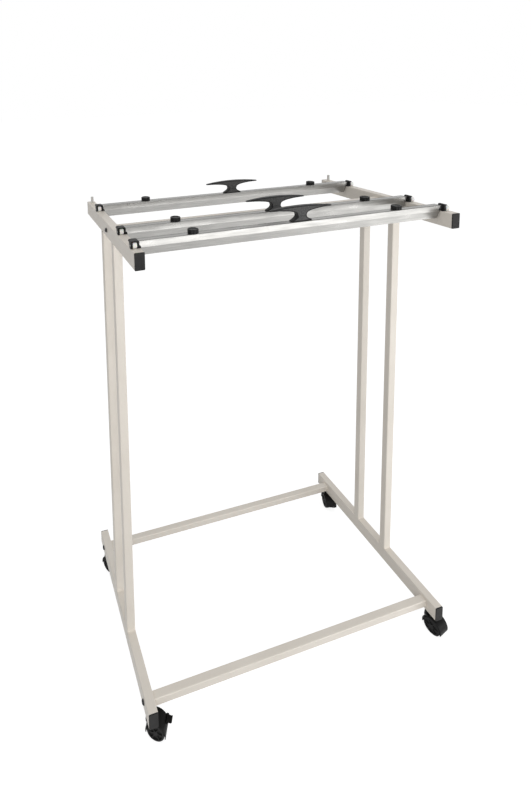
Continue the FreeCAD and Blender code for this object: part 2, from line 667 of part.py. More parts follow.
def arm_notch(y_middle):
    """Cut that takes the lower walls clear of the right arm, with a raked end."""
    notch_top = ARM_TOP + CHANNEL_NOTCH
    outline = [
        V(LOWER_END, y_middle - CHANNEL_DEPTH, notch_top),
        V(2 * CHANNEL_END, y_middle - CHANNEL_DEPTH, notch_top),
        V(2 * CHANNEL_END, y_middle - CHANNEL_DEPTH, CHANNEL_BOTTOM - 1),
        V(LOWER_END - END_RAKE, y_middle - CHANNEL_DEPTH, CHANNEL_BOTTOM - 1),
        V(LOWER_END, y_middle - CHANNEL_DEPTH, ARM_TOP),
    ]
    return prism(outline, Y_AXIS * 2 * CHANNEL_DEPTH)


def knob_hole(x, y_middle):
    """Hole in the channel's top for the threaded bush of a knob."""
    return rod(
        BUSH_DIAMETER / 2 + STUD_DIAMETER / 2 + 2 * FIT_CLEARANCE,
        V(x, y_middle, ARM_TOP + CHANNEL_RISE / 2),
        Z_AXIS,
        CHANNEL_RISE,
    )


def knob_bush(x, y_middle):
    """Threaded bush pressed up into the channel's top, with a flange below it."""
    roof = CHANNEL_TOP - CHANNEL_WALL
    flange = rod(BUSH_DIAMETER, V(x, y_middle, roof - BUSH_HEIGHT), Z_AXIS, BUSH_HEIGHT)
    neck = rod(
        BUSH_DIAMETER / 2 + STUD_DIAMETER / 2, V(x, y_middle, roof - BUSH_HEIGHT), Z_AXIS,
        BUSH_HEIGHT + CHANNEL_WALL,
    )
    bore = rod(
        STUD_DIAMETER + 2 * FIT_CLEARANCE, V(x, y_middle, roof - BUSH_HEIGHT), Z_AXIS,
        BUSH_HEIGHT + CHANNEL_WALL,
    )
    return flange.fuse(neck).cut(bore).removeSplitter()


def wedge_bar(y_middle):
    """Hollow tapered bar that presses the sheets against the channel's lower walls."""
    bottom = -CHANNEL_DROP
    half = [
        (inner_wall_offset(BAR_TOP) - FACE_GAP, BAR_TOP),
        (inner_wall_offset(inner_knee()) - FACE_GAP, inner_knee()),
        (inner_wall_offset(bottom) - FACE_GAP, bottom),
    ]
    end = LOWER_END - BAR_END_INSET
    bar = prism(section_points(half, y_middle, -end), X_AXIS * 2 * end)
    cavity_top = BAR_TOP - BAR_CROWN
    cavity_bottom = bottom + BAR_WALL
    cavity_half = [
        (inner_wall_offset(cavity_top) - FACE_GAP - BAR_WALL, cavity_top),
        (inner_wall_offset(cavity_bottom) - FACE_GAP - BAR_WALL, cavity_bottom),
    ]
    bar = bar.cut(prism(section_points(cavity_half, y_middle, -end), X_AXIS * 2 * end))
    for side in (-1, 1):
        bar = bar.cut(
            rod(
                STUD_DIAMETER + 2 * FIT_CLEARANCE,
                V(side * KNOB_POSITION, y_middle, ARM_TOP + BAR_TOP - STUD_SOCKET_DEPTH),
                Z_AXIS,
                2 * STUD_SOCKET_DEPTH,
            )
        )
    return bar


def thumb_knob(x, y_middle):
    """Fluted knob with a moulded-in stud that turns in the wedge bar's socket."""
    bottom = CHANNEL_TOP + FACE_GAP
    axis = V(x, y_middle, 0)
    head = rod(KNOB_DIAMETER, axis + Z_AXIS * bottom, Z_AXIS, KNOB_HEIGHT)
    for k in range(KNOB_FLUTES):
        turn = 2 * math.pi * (k + 0.5) / KNOB_FLUTES
        reach = KNOB_DIAMETER / 2 + KNOB_FLUTE_RADIUS * 0.55
        place = axis + V(reach * math.cos(turn), reach * math.sin(turn), bottom)
        head = head.cut(rod(2 * KNOB_FLUTE_RADIUS, place, Z_AXIS, KNOB_HEIGHT))
    top_edges = [e for e in head.Edges if e.BoundBox.ZMin > bottom + KNOB_HEIGHT - 0.01]
    head = head.makeChamfer(KNOB_EDGE, top_edges)
    stud_bottom = ARM_TOP + BAR_TOP - STUD_SOCKET_DEPTH + FACE_GAP
    stud = rod(STUD_DIAMETER, axis + Z_AXIS * stud_bottom, Z_AXIS, bottom + 1 - stud_bottom)
    return head.fuse(stud).removeSplitter()


def handle_side_curve():
    """Concave side of the handle, from its base past the waist to the tip's underside."""
    underside_tip = HANDLE_HEIGHT - HANDLE_TIP_DROP - HANDLE_TIP_THICKNESS
    half_waist = HANDLE_WAIST / 2
    return [
        (HANDLE_BASE_LENGTH / 2, HANDLE_BASE_EDGE),
        (half_waist + 7, HANDLE_WAIST_HEIGHT * 0.45),
        (half_waist, HANDLE_WAIST_HEIGHT),
        (half_waist + 4, HANDLE_WAIST_HEIGHT + 12),
        (half_waist + 24, underside_tip - 4),
        (half_waist + 55, underside_tip - 0.6),
        (HANDLE_LENGTH / 2, underside_tip),
    ]


def handle_outline(y, base_z):
    """Closed wire of the handle's cleat shape in one upright plane."""
    def spline(points):
        curve = Part.BSplineCurve()
        curve.interpolate([V(x, y, base_z + z) for x, z in points])
        return curve.toShape()

    right = handle_side_curve()
    left = [(-x, z) for x, z in reversed(right)]
    tip_z = HANDLE_HEIGHT - HANDLE_TIP_DROP
    tip_x = HANDLE_LENGTH / 2
    base_x = HANDLE_BASE_LENGTH / 2
    right_tip = V(tip_x, y, base_z + tip_z)
    left_tip = V(-tip_x, y, base_z + tip_z)
    top = Part.Arc(right_tip, V(0, y, base_z + HANDLE_HEIGHT), left_tip).toShape()
    edges = [
        Part.makeLine(V(-base_x, y, base_z), V(base_x, y, base_z)),
        Part.makeLine(V(base_x, y, base_z), V(base_x, y, base_z + HANDLE_BASE_EDGE)),
        spline(right),
        Part.makeLine(V(tip_x, y, base_z + right[-1][1]), right_tip),
        top,
        Part.makeLine(left_tip, V(-tip_x, y, base_z + right[-1][1])),
        spline(left),
        Part.makeLine(V(-base_x, y, base_z + HANDLE_BASE_EDGE), V(-base_x, y, base_z)),
    ]
    return Part.Wire(edges)


def lens_prism(half_length, middle_depth, end_depth, y_middle, z_limits):
    """Upright prism whose plan narrows in two arcs from its middle to square ends."""
    corners = [
        V(half_length, y_middle - end_depth / 2, z_limits[0]),
        V(half_length, y_middle + end_depth / 2, z_limits[0]),
        V(-half_length, y_middle + end_depth / 2, z_limits[0]),
        V(-half_length, y_middle - end_depth / 2, z_limits[0]),
    ]
    rear = Part.Arc(corners[1], V(0, y_middle + middle_depth / 2, z_limits[0]), corners[2])
    front = Part.Arc(corners[3], V(0, y_middle - middle_depth / 2, z_limits[0]), corners[0])
    edges = [
        Part.makeLine(corners[0], corners[1]),
        rear.toShape(),
        Part.makeLine(corners[2], corners[3]),
        front.toShape(),
    ]
    return Part.Face(Part.Wire(edges)).extrude(Z_AXIS * (z_limits[1] - z_limits[0]))


def carrying_handle(y_middle):
    """Cleat-shaped handle: a waisted foot and two tapering wings."""
    base_z = CHANNEL_TOP
    depth = HANDLE_BASE_DEPTH
    profile = Part.Face(handle_outline(y_middle - depth / 2, base_z)).extrude(Y_AXIS * depth)
    waist_z = base_z + HANDLE_WAIST_HEIGHT
    wing_plan = lens_prism(
        HANDLE_LENGTH / 2, HANDLE_GRIP_DEPTH, HANDLE_TIP_DEPTH, y_middle,
        (waist_z, base_z + HANDLE_HEIGHT),
    )
    foot_plan = lens_prism(
        HANDLE_BASE_LENGTH / 2, HANDLE_BASE_DEPTH, HANDLE_BASE_DEPTH * 0.6, y_middle,
        (base_z, waist_z),
    )
    wings = profile.common(wing_plan)
    foot = profile.common(foot_plan)
    handle = wings.fuse(foot).removeSplitter()
    for side in (-1, 1):
        handle = handle.cut(
            rod(
                HANDLE_SCREW_DIAMETER + 2 * FIT_CLEARANCE,
                V(side * HANDLE_SCREW_PITCH / 2, y_middle, base_z),
                Z_AXIS,
                HANDLE_SCREW_DEPTH,
            )
        )
    return handle


def spigot_screw_x():
    """Distance of a bracket's screw from the middle of the clamp."""
    return CHANNEL_END - SPIGOT_LENGTH / 2


def outer_leg_relief(y_front, x, bottom):
    """Space behind an arch's outer leg, which tapers towards its foot."""
    top = ARM_TOP + ARCH_HEIGHT - ARCH_CORNER
    corners = [
        V(x, y_front + BRACKET_OUTER_DEPTH * 0.6, bottom),
        V(x, y_front + BRACKET_OUTER_DEPTH, top),
        V(x, y_front + BRACKET_DEPTH, top),
        V(x, y_front + BRACKET_DEPTH, bottom),
    ]
    return prism(corners, X_AXIS * BRACKET_OUTER_LEG)


def end_bracket(side, y_front):
    """Bracket over an arm, with its spigot inside the channel's end.

    A left bracket is an arch with two legs. A right one is open on its outer side.
    """
    y_middle = channel_middle(y_front)
    inner_x = CHANNEL_END
    outer_x = inner_x + BRACKET_WIDTH
    roof_end = outer_x if side < 0 else inner_x + OPEN_BRACKET_WIDTH
    bottom = ARM_TOP + BRACKET_LIFT
    top = ARM_TOP + ARCH_HEIGHT + BRACKET_CROWN
    body = box((inner_x, roof_end), (y_front, y_front + BRACKET_DEPTH), (bottom, top))
    shoulders = [e for e in edges_along(body, Y_AXIS) if e.CenterOfMass.z > top - 0.01]
    body = body.makeFillet(BRACKET_SHOULDER - BRACKET_CROWN / 2, shoulders)
    arch_limits = (inner_x + BRACKET_INNER_LEG, outer_x - BRACKET_OUTER_LEG)
    arch = box(arch_limits, (y_front, y_front + BRACKET_DEPTH), (ARM_TOP, ARM_TOP + ARCH_HEIGHT))
    crowns = [e for e in edges_along(arch, Y_AXIS) if e.CenterOfMass.z > ARM_TOP + 1]
    body = body.cut(arch.makeFillet(ARCH_CORNER, crowns))
    if side < 0:
        body = body.cut(outer_leg_relief(y_front, arch_limits[1], bottom))
    foot = box(
        (inner_x - BRACKET_FOOT_REACH, inner_x + BRACKET_INNER_LEG / 2),
        (y_front, y_front + BRACKET_FOOT_DEPTH),
        (bottom, ARM_TOP + BRACKET_FOOT_TOP),
    )
    half_spigot = inner_wall_offset(CHANNEL_RISE) - SPIGOT_CLEARANCE
    spigot_limits = (ARM_TOP + CHANNEL_NOTCH + FACE_GAP, CHANNEL_TOP - CHANNEL_WALL - SPIGOT_CLEARANCE)
    spigot = box(
        (inner_x - SPIGOT_LENGTH, inner_x),
        (y_middle - half_spigot, y_middle + half_spigot),
        spigot_limits,
    )
    root = box(
        (inner_x, inner_x + BRACKET_INNER_LEG),
        (y_front + BRACKET_DEPTH, y_middle + half_spigot),
        spigot_limits,
    )
    body = body.fuse([foot, spigot, root])
    pin_bore = ROLLER_PIN_DIAMETER + 2 * FIT_CLEARANCE
    body = body.cut(rod(pin_bore, pin_start(y_front), X_AXIS, BRACKET_WIDTH))
    screw = V(spigot_screw_x(), y_middle, ARM_TOP + CHANNEL_RISE / 2)
    body = body.cut(rod(SPIGOT_SCREW_DIAMETER + 2 * FIT_CLEARANCE, screw, Y_AXIS, CHANNEL_DEPTH))
    return mirrored(body.removeSplitter(), side)


def pin_start(y_front):
    """Inner end of the right roller's pin."""
    return V(CHANNEL_END + ROLLER_PIN_INSET, y_front + ROLLER_SETBACK, roller_axis_z())


def roller_axis_z():
    """Height of the rollers' axes."""
    return ARM_TOP + ROLLER_GAP + ROLLER_DIAMETER / 2


def channel_middle(y_front):
    """Middle plane of a clamp's channel, from the front of its brackets."""
    return y_front + CHANNEL_NOSE + CHANNEL_DEPTH / 2


def arm_roller(side, y_front):
    """White roller inside a bracket's arch."""
    start_x = CHANNEL_END + BRACKET_INNER_LEG + ROLLER_SIDE_GAP
    width = BRACKET_WIDTH - BRACKET_INNER_LEG - BRACKET_OUTER_LEG - 2 * ROLLER_SIDE_GAP
    start = V(start_x, y_front + ROLLER_SETBACK, roller_axis_z())
    roller = rod(ROLLER_DIAMETER, start, X_AXIS, width)
    rims = [edge for edge in roller.Edges if isinstance(edge.Curve, Part.Circle)]
    roller = roller.makeChamfer(ROLLER_EDGE, rims)
    bore = rod(ROLLER_PIN_DIAMETER + 2 * FIT_CLEARANCE, start, X_AXIS, width)
    return mirrored(roller.cut(bore), side)


def roller_pin(side, y_front):
    """Pin of a roller: plain through the left arch, headed on the open right side."""
    start = pin_start(y_front)
    if side < 0:
        return mirrored(rod(ROLLER_PIN_DIAMETER, start, X_AXIS, BRACKET_WIDTH - ROLLER_PIN_INSET), side)
    length = BRACKET_WIDTH - BRACKET_OUTER_LEG - ROLLER_PIN_INSET
    head = rod(ROLLER_PIN_HEAD, start + X_AXIS * length, X_AXIS, ROLLER_PIN_HEAD_HEIGHT)
    return rod(ROLLER_PIN_DIAMETER, start, X_AXIS, length).fuse(head).removeSplitter()


def clamp_fixings(y_front):
    """Roller pins, handle screws, bracket screws and knob bushes of one clamp."""
    y_middle = channel_middle(y_front)
    roof = CHANNEL_TOP - CHANNEL_WALL
    pieces = []
    for side in (-1, 1):
        pieces.append(roller_pin(side, y_front))
        screw_base = V(side * HANDLE_SCREW_PITCH / 2, y_middle, roof)
        screw = rod(1.8 * HANDLE_SCREW_DIAMETER, screw_base - Z_AXIS * 3, Z_AXIS, 3)
        shank_length = CHANNEL_WALL + HANDLE_SCREW_DEPTH - 1
        screw = screw.fuse(rod(HANDLE_SCREW_DIAMETER, screw_base, Z_AXIS, shank_length))
        pieces.append(screw.removeSplitter())
        rear_face = y_middle + CHANNEL_DEPTH / 2
        head_start = V(side * spigot_screw_x(), rear_face, ARM_TOP + CHANNEL_RISE / 2)
        fixing = rod(SPIGOT_SCREW_HEAD, head_start, Y_AXIS, SPIGOT_SCREW_HEAD_HEIGHT)
        shank_start = head_start - Y_AXIS * SPIGOT_SCREW_LENGTH
        fixing = fixing.fuse(rod(SPIGOT_SCREW_DIAMETER, shank_start, Y_AXIS, SPIGOT_SCREW_LENGTH))
        pieces.append(fixing.removeSplitter())
        pieces.append(knob_bush(side * KNOB_POSITION, y_middle))
    return pieces


def export_clamps():
    """Write the nodes of the three clamps."""
    for name, y_front in CLAMP_FRONTS.items():
        y_middle = channel_middle(y_front)
        export(f"{name}_clamp_channel", clamp_channel(y_middle))
        export(f"{name}_wedge_bar", wedge_bar(y_middle))
        export(f"{name}_handle", carrying_handle(y_middle))
        export(f"{name}_clamp_fixings", *clamp_fixings(y_front))
        for side_name, side in (("left", -1), ("right", 1)):
            export(f"{name}_{side_name}_knob", thumb_knob(side * KNOB_POSITION, y_middle))
            export(f"{name}_{side_name}_bracket", end_bracket(side, y_front))
            export(f"{name}_{side_name}_roller", arm_roller(side, y_front))


os.makedirs("parts", exist_ok=True)
export_frame()
export_castors()
export_clamps()
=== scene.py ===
"""Looks of a mobile rack that hangs large drawings from three sliding clamp bars.

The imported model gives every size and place. The steel tubes keep their own meshes and get a
finish. Mouldings, extrusions and fasteners are rebuilt with rounded corners, threads, sockets
and flutes. Lengths are metres: X runs left to right, Y from front to rear and Z up.
"""
import logging
import math
from abc import ABC, abstractmethod
from dataclasses import dataclass
from enum import Enum
from functools import cached_property
from typing import Callable

import bmesh
import bpy
from mathutils import Matrix, Vector
from mathutils.geometry import delaunay_2d_cdt


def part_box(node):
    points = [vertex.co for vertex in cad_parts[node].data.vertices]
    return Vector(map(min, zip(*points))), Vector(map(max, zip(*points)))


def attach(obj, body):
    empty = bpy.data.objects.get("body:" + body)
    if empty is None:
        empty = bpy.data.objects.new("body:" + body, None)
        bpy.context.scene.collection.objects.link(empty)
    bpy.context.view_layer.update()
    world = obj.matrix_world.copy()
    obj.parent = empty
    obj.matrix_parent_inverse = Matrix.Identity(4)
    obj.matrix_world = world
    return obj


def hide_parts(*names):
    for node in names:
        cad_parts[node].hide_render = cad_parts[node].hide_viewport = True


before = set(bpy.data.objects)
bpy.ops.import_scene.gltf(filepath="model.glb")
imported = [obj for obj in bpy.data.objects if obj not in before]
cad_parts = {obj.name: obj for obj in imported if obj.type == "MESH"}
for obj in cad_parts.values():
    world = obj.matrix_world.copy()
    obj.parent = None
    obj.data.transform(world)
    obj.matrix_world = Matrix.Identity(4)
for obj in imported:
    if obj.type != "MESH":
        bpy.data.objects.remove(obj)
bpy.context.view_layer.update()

LOG = logging.getLogger("plan_rack")
MM = 0.001
PANEL_MASK = "panel"

Colour = tuple[float, float, float]
Place = tuple[float, float, float]
Profile = list[tuple[float, float]]
Shaping = Callable[[float, float, float], float]
Signal = bpy.types.NodeSocket
Form = bmesh.types.BMesh
FormPoint = bmesh.types.BMVert

EVEN: Place = (1.0, 1.0, 1.0)
UPWARDS = Vector((0.0, 0.0, 1.0))
# Points nearer than this are one point, and faces that meet flatter than this are one face.
SAME_POINT = 2e-6
SAME_FACE = math.radians(0.5)
# Corners over this angle are rounded.
ROUNDED_CORNER = math.radians(32.0)


class Slot(Enum):
    """Material slots of the record."""

    CREAM_PAINT = "cream_paint"
    SATIN_ALUMINIUM = "satin_aluminium"
    MOULDED_BLACK = "moulded_black"
    CASTOR_BLACK = "castor_black"
    CASTOR_WHEEL_BLACK = "castor_wheel_black"
    BLACK_CAP = "black_cap"
    WHITE_NYLON = "white_nylon"
    PALE_NYLON = "pale_nylon"
    BLACK_STEEL = "black_steel"
    ZINC_STEEL = "zinc_steel"


class Side(Enum):
    """Sides of the rack."""

    LEFT = "left"
    RIGHT = "right"


class Corner(Enum):
    """Corners of the base, each with its castor."""

    FRONT_LEFT = "front_left"
    FRONT_RIGHT = "front_right"
    REAR_LEFT = "rear_left"
    REAR_RIGHT = "rear_right"


class Position(Enum):
    """Positions of the clamps on the arms."""

    FRONT = "front"
    MIDDLE = "middle"
    REAR = "rear"


# ---------------------------------------------------------------------------- finishes
class FinishGraph:
    """Shader nodes of one finish, laid out in the piece's own metres."""

    SAMPLES = 6
    # Likeness of rounded and true normals on a worn corner and on a face.
    CORNER_LIKENESS = (0.80, 0.99)
    # Share of open sky in a groove darkened by painted shade and in the open.
    GROOVE_SKY = (0.45, 0.85)
    # Sockets of the Mix node that carry the blend of two colours.
    MIX_FACTOR, MIX_FIRST, MIX_SECOND, MIX_BLEND = 0, 6, 7, 2

    def __init__(self, name: str) -> None:
        """Start a finish.

        Args:
            name: Name of the material.
        """
        self.material = bpy.data.materials.new(name)
        self.material.use_nodes = True
        tree = self.material.node_tree
        self.nodes = tree.nodes
        self.links = tree.links
        self.shader = self.nodes["Principled BSDF"]
        self.place = self.nodes.new("ShaderNodeTexCoord").outputs["Object"]

    def fix(self, socket: str, value: float) -> None:
        """Set a value of the shader that is the same all over."""
        self.shader.inputs[socket].default_value = value

    def drive(self, socket: str, source: Signal) -> None:
        """Let a pattern drive a socket of the shader."""
        self.links.new(source, self.shader.inputs[socket])

    def noise(self, scale: float, stretch: Place = EVEN, detail: float = 3.0) -> Signal:
        """Cloudy pattern.

        Args:
            scale: Features in a metre.
            stretch: Share of that scale along each axis.
            detail: Octaves of finer pattern.

        Returns:
            Value from 0 to 1.
        """
        mapping = self.nodes.new("ShaderNodeMapping")
        mapping.inputs["Scale"].default_value = stretch
        self.links.new(self.place, mapping.inputs["Vector"])
        noise = self.nodes.new("ShaderNodeTexNoise")
        noise.inputs["Scale"].default_value = scale
        noise.inputs["Detail"].default_value = detail
        self.links.new(mapping.outputs["Vector"], noise.inputs["Vector"])
        return noise.outputs["Fac"]

    def specks(self, scale: float) -> Signal:
        """Small round cells, as in moulded grain.

        Args:
            scale: Cells in a metre.

        Returns:
            Distance from the middle of each cell.
        """
        cells = self.nodes.new("ShaderNodeTexVoronoi")
        cells.inputs["Scale"].default_value = scale
        self.links.new(self.place, cells.inputs["Vector"])
        return cells.outputs["Distance"]

    def masked(self, mask: str) -> Signal:
        """Part of a piece that its mesh marks out.

        Args:
            mask: Name of the mark.

        Returns:
            Value from 0 outside to 1 inside.
        """
        mark = self.nodes.new("ShaderNodeAttribute")
        mark.attribute_name = mask
        return mark.outputs["Fac"]

    def edges(self, reach: float = 0.7 * MM) -> Signal:
        """Corners of a piece, where handling polishes or thins a finish.

        Args:
            reach: Distance from a corner at which the wear ends.

        Returns:
            Value from 0 on faces to 1 on corners.
        """
        bevel = self.nodes.new("ShaderNodeBevel")
        bevel.samples = self.SAMPLES
        bevel.inputs["Radius"].default_value = reach
        geometry = self.nodes.new("ShaderNodeNewGeometry")
        likeness = self.nodes.new("ShaderNodeVectorMath")
        likeness.operation = "DOT_PRODUCT"
        self.links.new(bevel.outputs["Normal"], likeness.inputs[0])
        self.links.new(geometry.outputs["Normal"], likeness.inputs[1])
        return self.spread(likeness.outputs["Value"], 1.0, 0.0, *self.CORNER_LIKENESS)

    def painted_groove_shade(self, reach: float) -> Signal:
        """Grooves and inner corners, where painted shade darkens the colour.

        Args:
            reach: Width of the hollows that are found.

        Returns:
            Value from 0 in the open to 1 in a groove.
        """
        shelter = self.nodes.new("ShaderNodeAmbientOcclusion")
        shelter.samples = self.SAMPLES
        shelter.only_local = True
        shelter.inputs["Distance"].default_value = reach
        return self.spread(shelter.outputs["AO"], 1.0, 0.0, *self.GROOVE_SKY)

    def spread(
        self, source: Signal, low: float, high: float, start: float = 0.3, end: float = 0.7
    ) -> Signal:
        """Spread a pattern over a range.

        Args:
            source: Pattern.
            low: Result where the pattern is at or under start.
            high: Result where it is at or over end.
            start: Lower value of the pattern.
            end: Upper value of the pattern.

        Returns:
            Value from low to high.
        """
        spread = self.nodes.new("ShaderNodeMapRange")
        limits = {"From Min": start, "From Max": end, "To Min": low, "To Max": high}
        for name, value in limits.items():
            spread.inputs[name].default_value = value
        self.links.new(source, spread.inputs["Value"])
        return spread.outputs["Result"]

    def tint(self, source: Signal, first: Colour | Signal, second: Colour | Signal) -> Signal:
        """Blend two colours by a pattern.

        Args:
            source: Pattern from 0 to 1.
            first: Colour at 0.
            second: Colour at 1.

        Returns:
            Blended colour.
        """
        mix = self.nodes.new("ShaderNodeMix")
        mix.data_type = "RGBA"
        self.links.new(source, mix.inputs[self.MIX_FACTOR])
        for index, colour in ((self.MIX_FIRST, first), (self.MIX_SECOND, second)):
            socket = mix.inputs[index]
            if isinstance(colour, tuple):
                socket.default_value = (*colour, 1.0)
            else:
                self.links.new(colour, socket)
        return mix.outputs[self.MIX_BLEND]

    def relief(self, *layers: tuple[Signal, float]) -> None:
        """Raise the surface by one or more patterns.

        Args:
            layers: Patterns with their depths in metres.
        """
        normal = None
        for source, depth in layers:
            bump = self.nodes.new("ShaderNodeBump")
            bump.inputs["Strength"].default_value = 1.0
            bump.inputs["Distance"].default_value = depth
            self.links.new(source, bump.inputs["Height"])
            if normal is not None:
                self.links.new(normal, bump.inputs["Normal"])
            normal = bump.outputs["Normal"]
        self.links.new(normal, self.shader.inputs["Normal"])


class Finish(ABC):
    """Recipe of a slot's material."""

    @abstractmethod
    def lay(self, graph: FinishGraph) -> None:
        """Lay the finish on a new material's graph."""

    def make(self, name: str) -> bpy.types.Material:
        """Make the material.

        Args:
            name: Name of the material.

        Returns:
            The material.
        """
        graph = FinishGraph(name)
        self.lay(graph)
        return graph.material


@dataclass(frozen=True)
class PowderCoat(Finish):
    """Satin powder coat: fine orange peel, a slow drift of tone and thin corners."""

    light: Colour = (0.80, 0.748, 0.675)
    deep: Colour = (0.755, 0.702, 0.628)
    thin: Colour = (0.86, 0.82, 0.75)
    smooth: float = 0.36
    rough: float = 0.48
    drift_scale: float = 7.0
    gloss_scale: float = 240.0
    peel_scale: float = 950.0
    peel_detail: float = 1.5
    peel_depth: float = 0.04 * MM
    wave_scale: float = 90.0
    wave_depth: float = 0.08 * MM

    def lay(self, graph: FinishGraph) -> None:
        """Lay the paint on a graph.

        Args:
            graph: Graph of the new material.
        """
        drift = graph.spread(graph.noise(self.drift_scale), 0.0, 1.0)
        body = graph.tint(drift, self.deep, self.light)
        graph.drive("Base Color", graph.tint(graph.edges(), body, self.thin))
        gloss = graph.noise(self.gloss_scale)
        graph.drive("Roughness", graph.spread(gloss, self.smooth, self.rough))
        graph.relief(
            (graph.noise(self.peel_scale, detail=self.peel_detail), self.peel_depth),
            (graph.noise(self.wave_scale), self.wave_depth),
        )


@dataclass(frozen=True)
class SatinMetal(Finish):
    """Extruded or plated metal: fine drawn lines along X, and painted shade in its grooves."""

    light: Colour = (0.38, 0.375, 0.361)
    deep: Colour = (0.24, 0.237, 0.229)
    # Near-black colour of the painted shade in grooves and inner corners.
    groove_shade: Colour = (0.03, 0.03, 0.029)
    smooth: float = 0.26
    rough: float = 0.40
    metal: float = 1.0
    brushed: float = 0.35
    line_scale: float = 1300.0
    line_stretch: Place = (0.012, 1.0, 1.0)
    line_detail: float = 4.0
    line_depth: float = 0.012 * MM
    gloss_scale: float = 55.0
    gloss_stretch: Place = (0.2, 1.0, 1.0)
    groove: float = 2.5 * MM

    def lay(self, graph: FinishGraph) -> None:
        """Lay the metal on a graph.

        Args:
            graph: Graph of the new material.
        """
        graph.fix("Metallic", self.metal)
        graph.fix("Anisotropic", self.brushed)
        lines = graph.noise(self.line_scale, self.line_stretch, self.line_detail)
        body = graph.tint(graph.spread(lines, 0.0, 1.0), self.deep, self.light)
        # Painted shade: grooves and inner corners are darkened towards a near-black colour.
        graph.drive("Base Color", graph.tint(graph.painted_groove_shade(self.groove), body, self.groove_shade))
        gloss = graph.noise(self.gloss_scale, self.gloss_stretch)
        graph.drive("Roughness", graph.spread(gloss, self.smooth, self.rough))
        graph.relief((lines, self.line_depth))


@dataclass(frozen=True)
class Moulding(Finish):
    """Moulded plastic: fine grain, cloudy gloss and corners polished by handling.

    Where a panel's colour is given, the part that PANEL_MASK marks is coarsely grained, and its
    lighter grey specks are a painted reflection.
    """

    light: Colour
    deep: Colour
    corner: Colour
    smooth: float
    rough: float
    shine: float
    # Lighter grey of the painted reflection on the sunk panel.
    panel: Colour | None = None
    panel_grain: float = 620.0
    panel_cell: tuple[float, float] = (0.15, 0.55)
    cloud_scale: float = 60.0
    gloss_scale: float = 120.0
    grain_scale: float = 1500.0
    wave_scale: float = 300.0
    grain_depth: float = 0.03 * MM

    def lay(self, graph: FinishGraph) -> None:
        """Lay the plastic on a graph.

        Args:
            graph: Graph of the new material.
        """
        graph.fix("Specular IOR Level", self.shine)
        clouds = graph.spread(graph.noise(self.cloud_scale), 0.0, 1.0)
        body = graph.tint(clouds, self.deep, self.light)
        # Painted reflection: lighter grey specks on the sunk panel stand in for the sheen of its
        # grain.
        if self.panel:
            cells = graph.spread(graph.specks(self.panel_grain), 1.0, 0.0, *self.panel_cell)
            grain_sheen = graph.tint(cells, self.corner, self.panel)
            body = graph.tint(graph.masked(PANEL_MASK), body, grain_sheen)
        graph.drive("Base Color", graph.tint(graph.edges(), body, self.corner))
        gloss = graph.noise(self.gloss_scale)
        graph.drive("Roughness", graph.spread(gloss, self.smooth, self.rough))
        graph.relief(
            (graph.specks(self.grain_scale), self.grain_depth),
            (graph.noise(self.wave_scale), self.grain_depth),
        )


@dataclass(frozen=True)
class TurnedNylon(Finish):
    """Nylon turned or moulded round X, with faint tool rings and a soft glow."""

    light: Colour = (0.90, 0.89, 0.865)
    deep: Colour = (0.84, 0.83, 0.80)
    smooth: float = 0.26
    rough: float = 0.40
    glow: float = 0.12
    glow_depth: float = 2.0 * MM
    cloud_scale: float = 80.0
    ring_scale: float = 1800.0
    ring_stretch: Place = (1.0, 0.02, 0.02)
    ring_detail: float = 2.0
    ring_depth: float = 0.01 * MM

    def lay(self, graph: FinishGraph) -> None:
        """Lay the nylon on a graph.

        Args:
            graph: Graph of the new material.
        """
        graph.fix("Subsurface Weight", self.glow)
        graph.fix("Subsurface Scale", self.glow_depth)
        rings = graph.noise(self.ring_scale, self.ring_stretch, self.ring_detail)
        clouds = graph.noise(self.cloud_scale)
        graph.drive("Base Color", graph.tint(clouds, self.deep, self.light))
        graph.drive("Roughness", graph.spread(rings, self.smooth, self.rough))
        graph.relief((rings, self.ring_depth))


def grey(tone: float) -> Colour:
    """Neutral colour of one tone."""
    return (tone, tone, tone)


FINISHES: dict[Slot, Finish] = {
    Slot.CREAM_PAINT: PowderCoat(),
    Slot.SATIN_ALUMINIUM: SatinMetal(),
    # The handle panel's colour is a painted reflection: lighter grey specks on the black.
    Slot.MOULDED_BLACK: Moulding(
        light=grey(0.012), deep=grey(0.007), corner=grey(0.05), smooth=0.34, rough=0.50,
        shine=0.15, panel=(0.13, 0.127, 0.123),
    ),
    Slot.CASTOR_BLACK: Moulding(
        light=grey(0.008), deep=grey(0.005), corner=grey(0.025), smooth=0.36, rough=0.50,
        shine=0.10,
    ),
    Slot.CASTOR_WHEEL_BLACK: Moulding(
        light=grey(0.016), deep=grey(0.009), corner=grey(0.035), smooth=0.42, rough=0.58,
        shine=0.12,
    ),
    Slot.BLACK_CAP: Moulding(
        light=(0.027, 0.026, 0.026), deep=grey(0.017), corner=grey(0.07), smooth=0.40,
        rough=0.55, shine=0.12,
    ),
    Slot.WHITE_NYLON: TurnedNylon(),
    Slot.PALE_NYLON: TurnedNylon(light=(0.68, 0.67, 0.64), deep=(0.60, 0.59, 0.56), glow=0.05),
    Slot.BLACK_STEEL: SatinMetal(
        light=(0.045, 0.045, 0.047), deep=(0.028, 0.028, 0.03), smooth=0.32, rough=0.46,
        metal=0.7, brushed=0.0, line_scale=900.0, line_stretch=EVEN, line_depth=0.01 * MM,
    ),
    Slot.ZINC_STEEL: SatinMetal(
        light=(0.72, 0.73, 0.74), deep=(0.58, 0.59, 0.59), smooth=0.24, rough=0.40,
        brushed=0.0, line_scale=420.0, line_stretch=EVEN, line_depth=0.01 * MM,
    ),
}


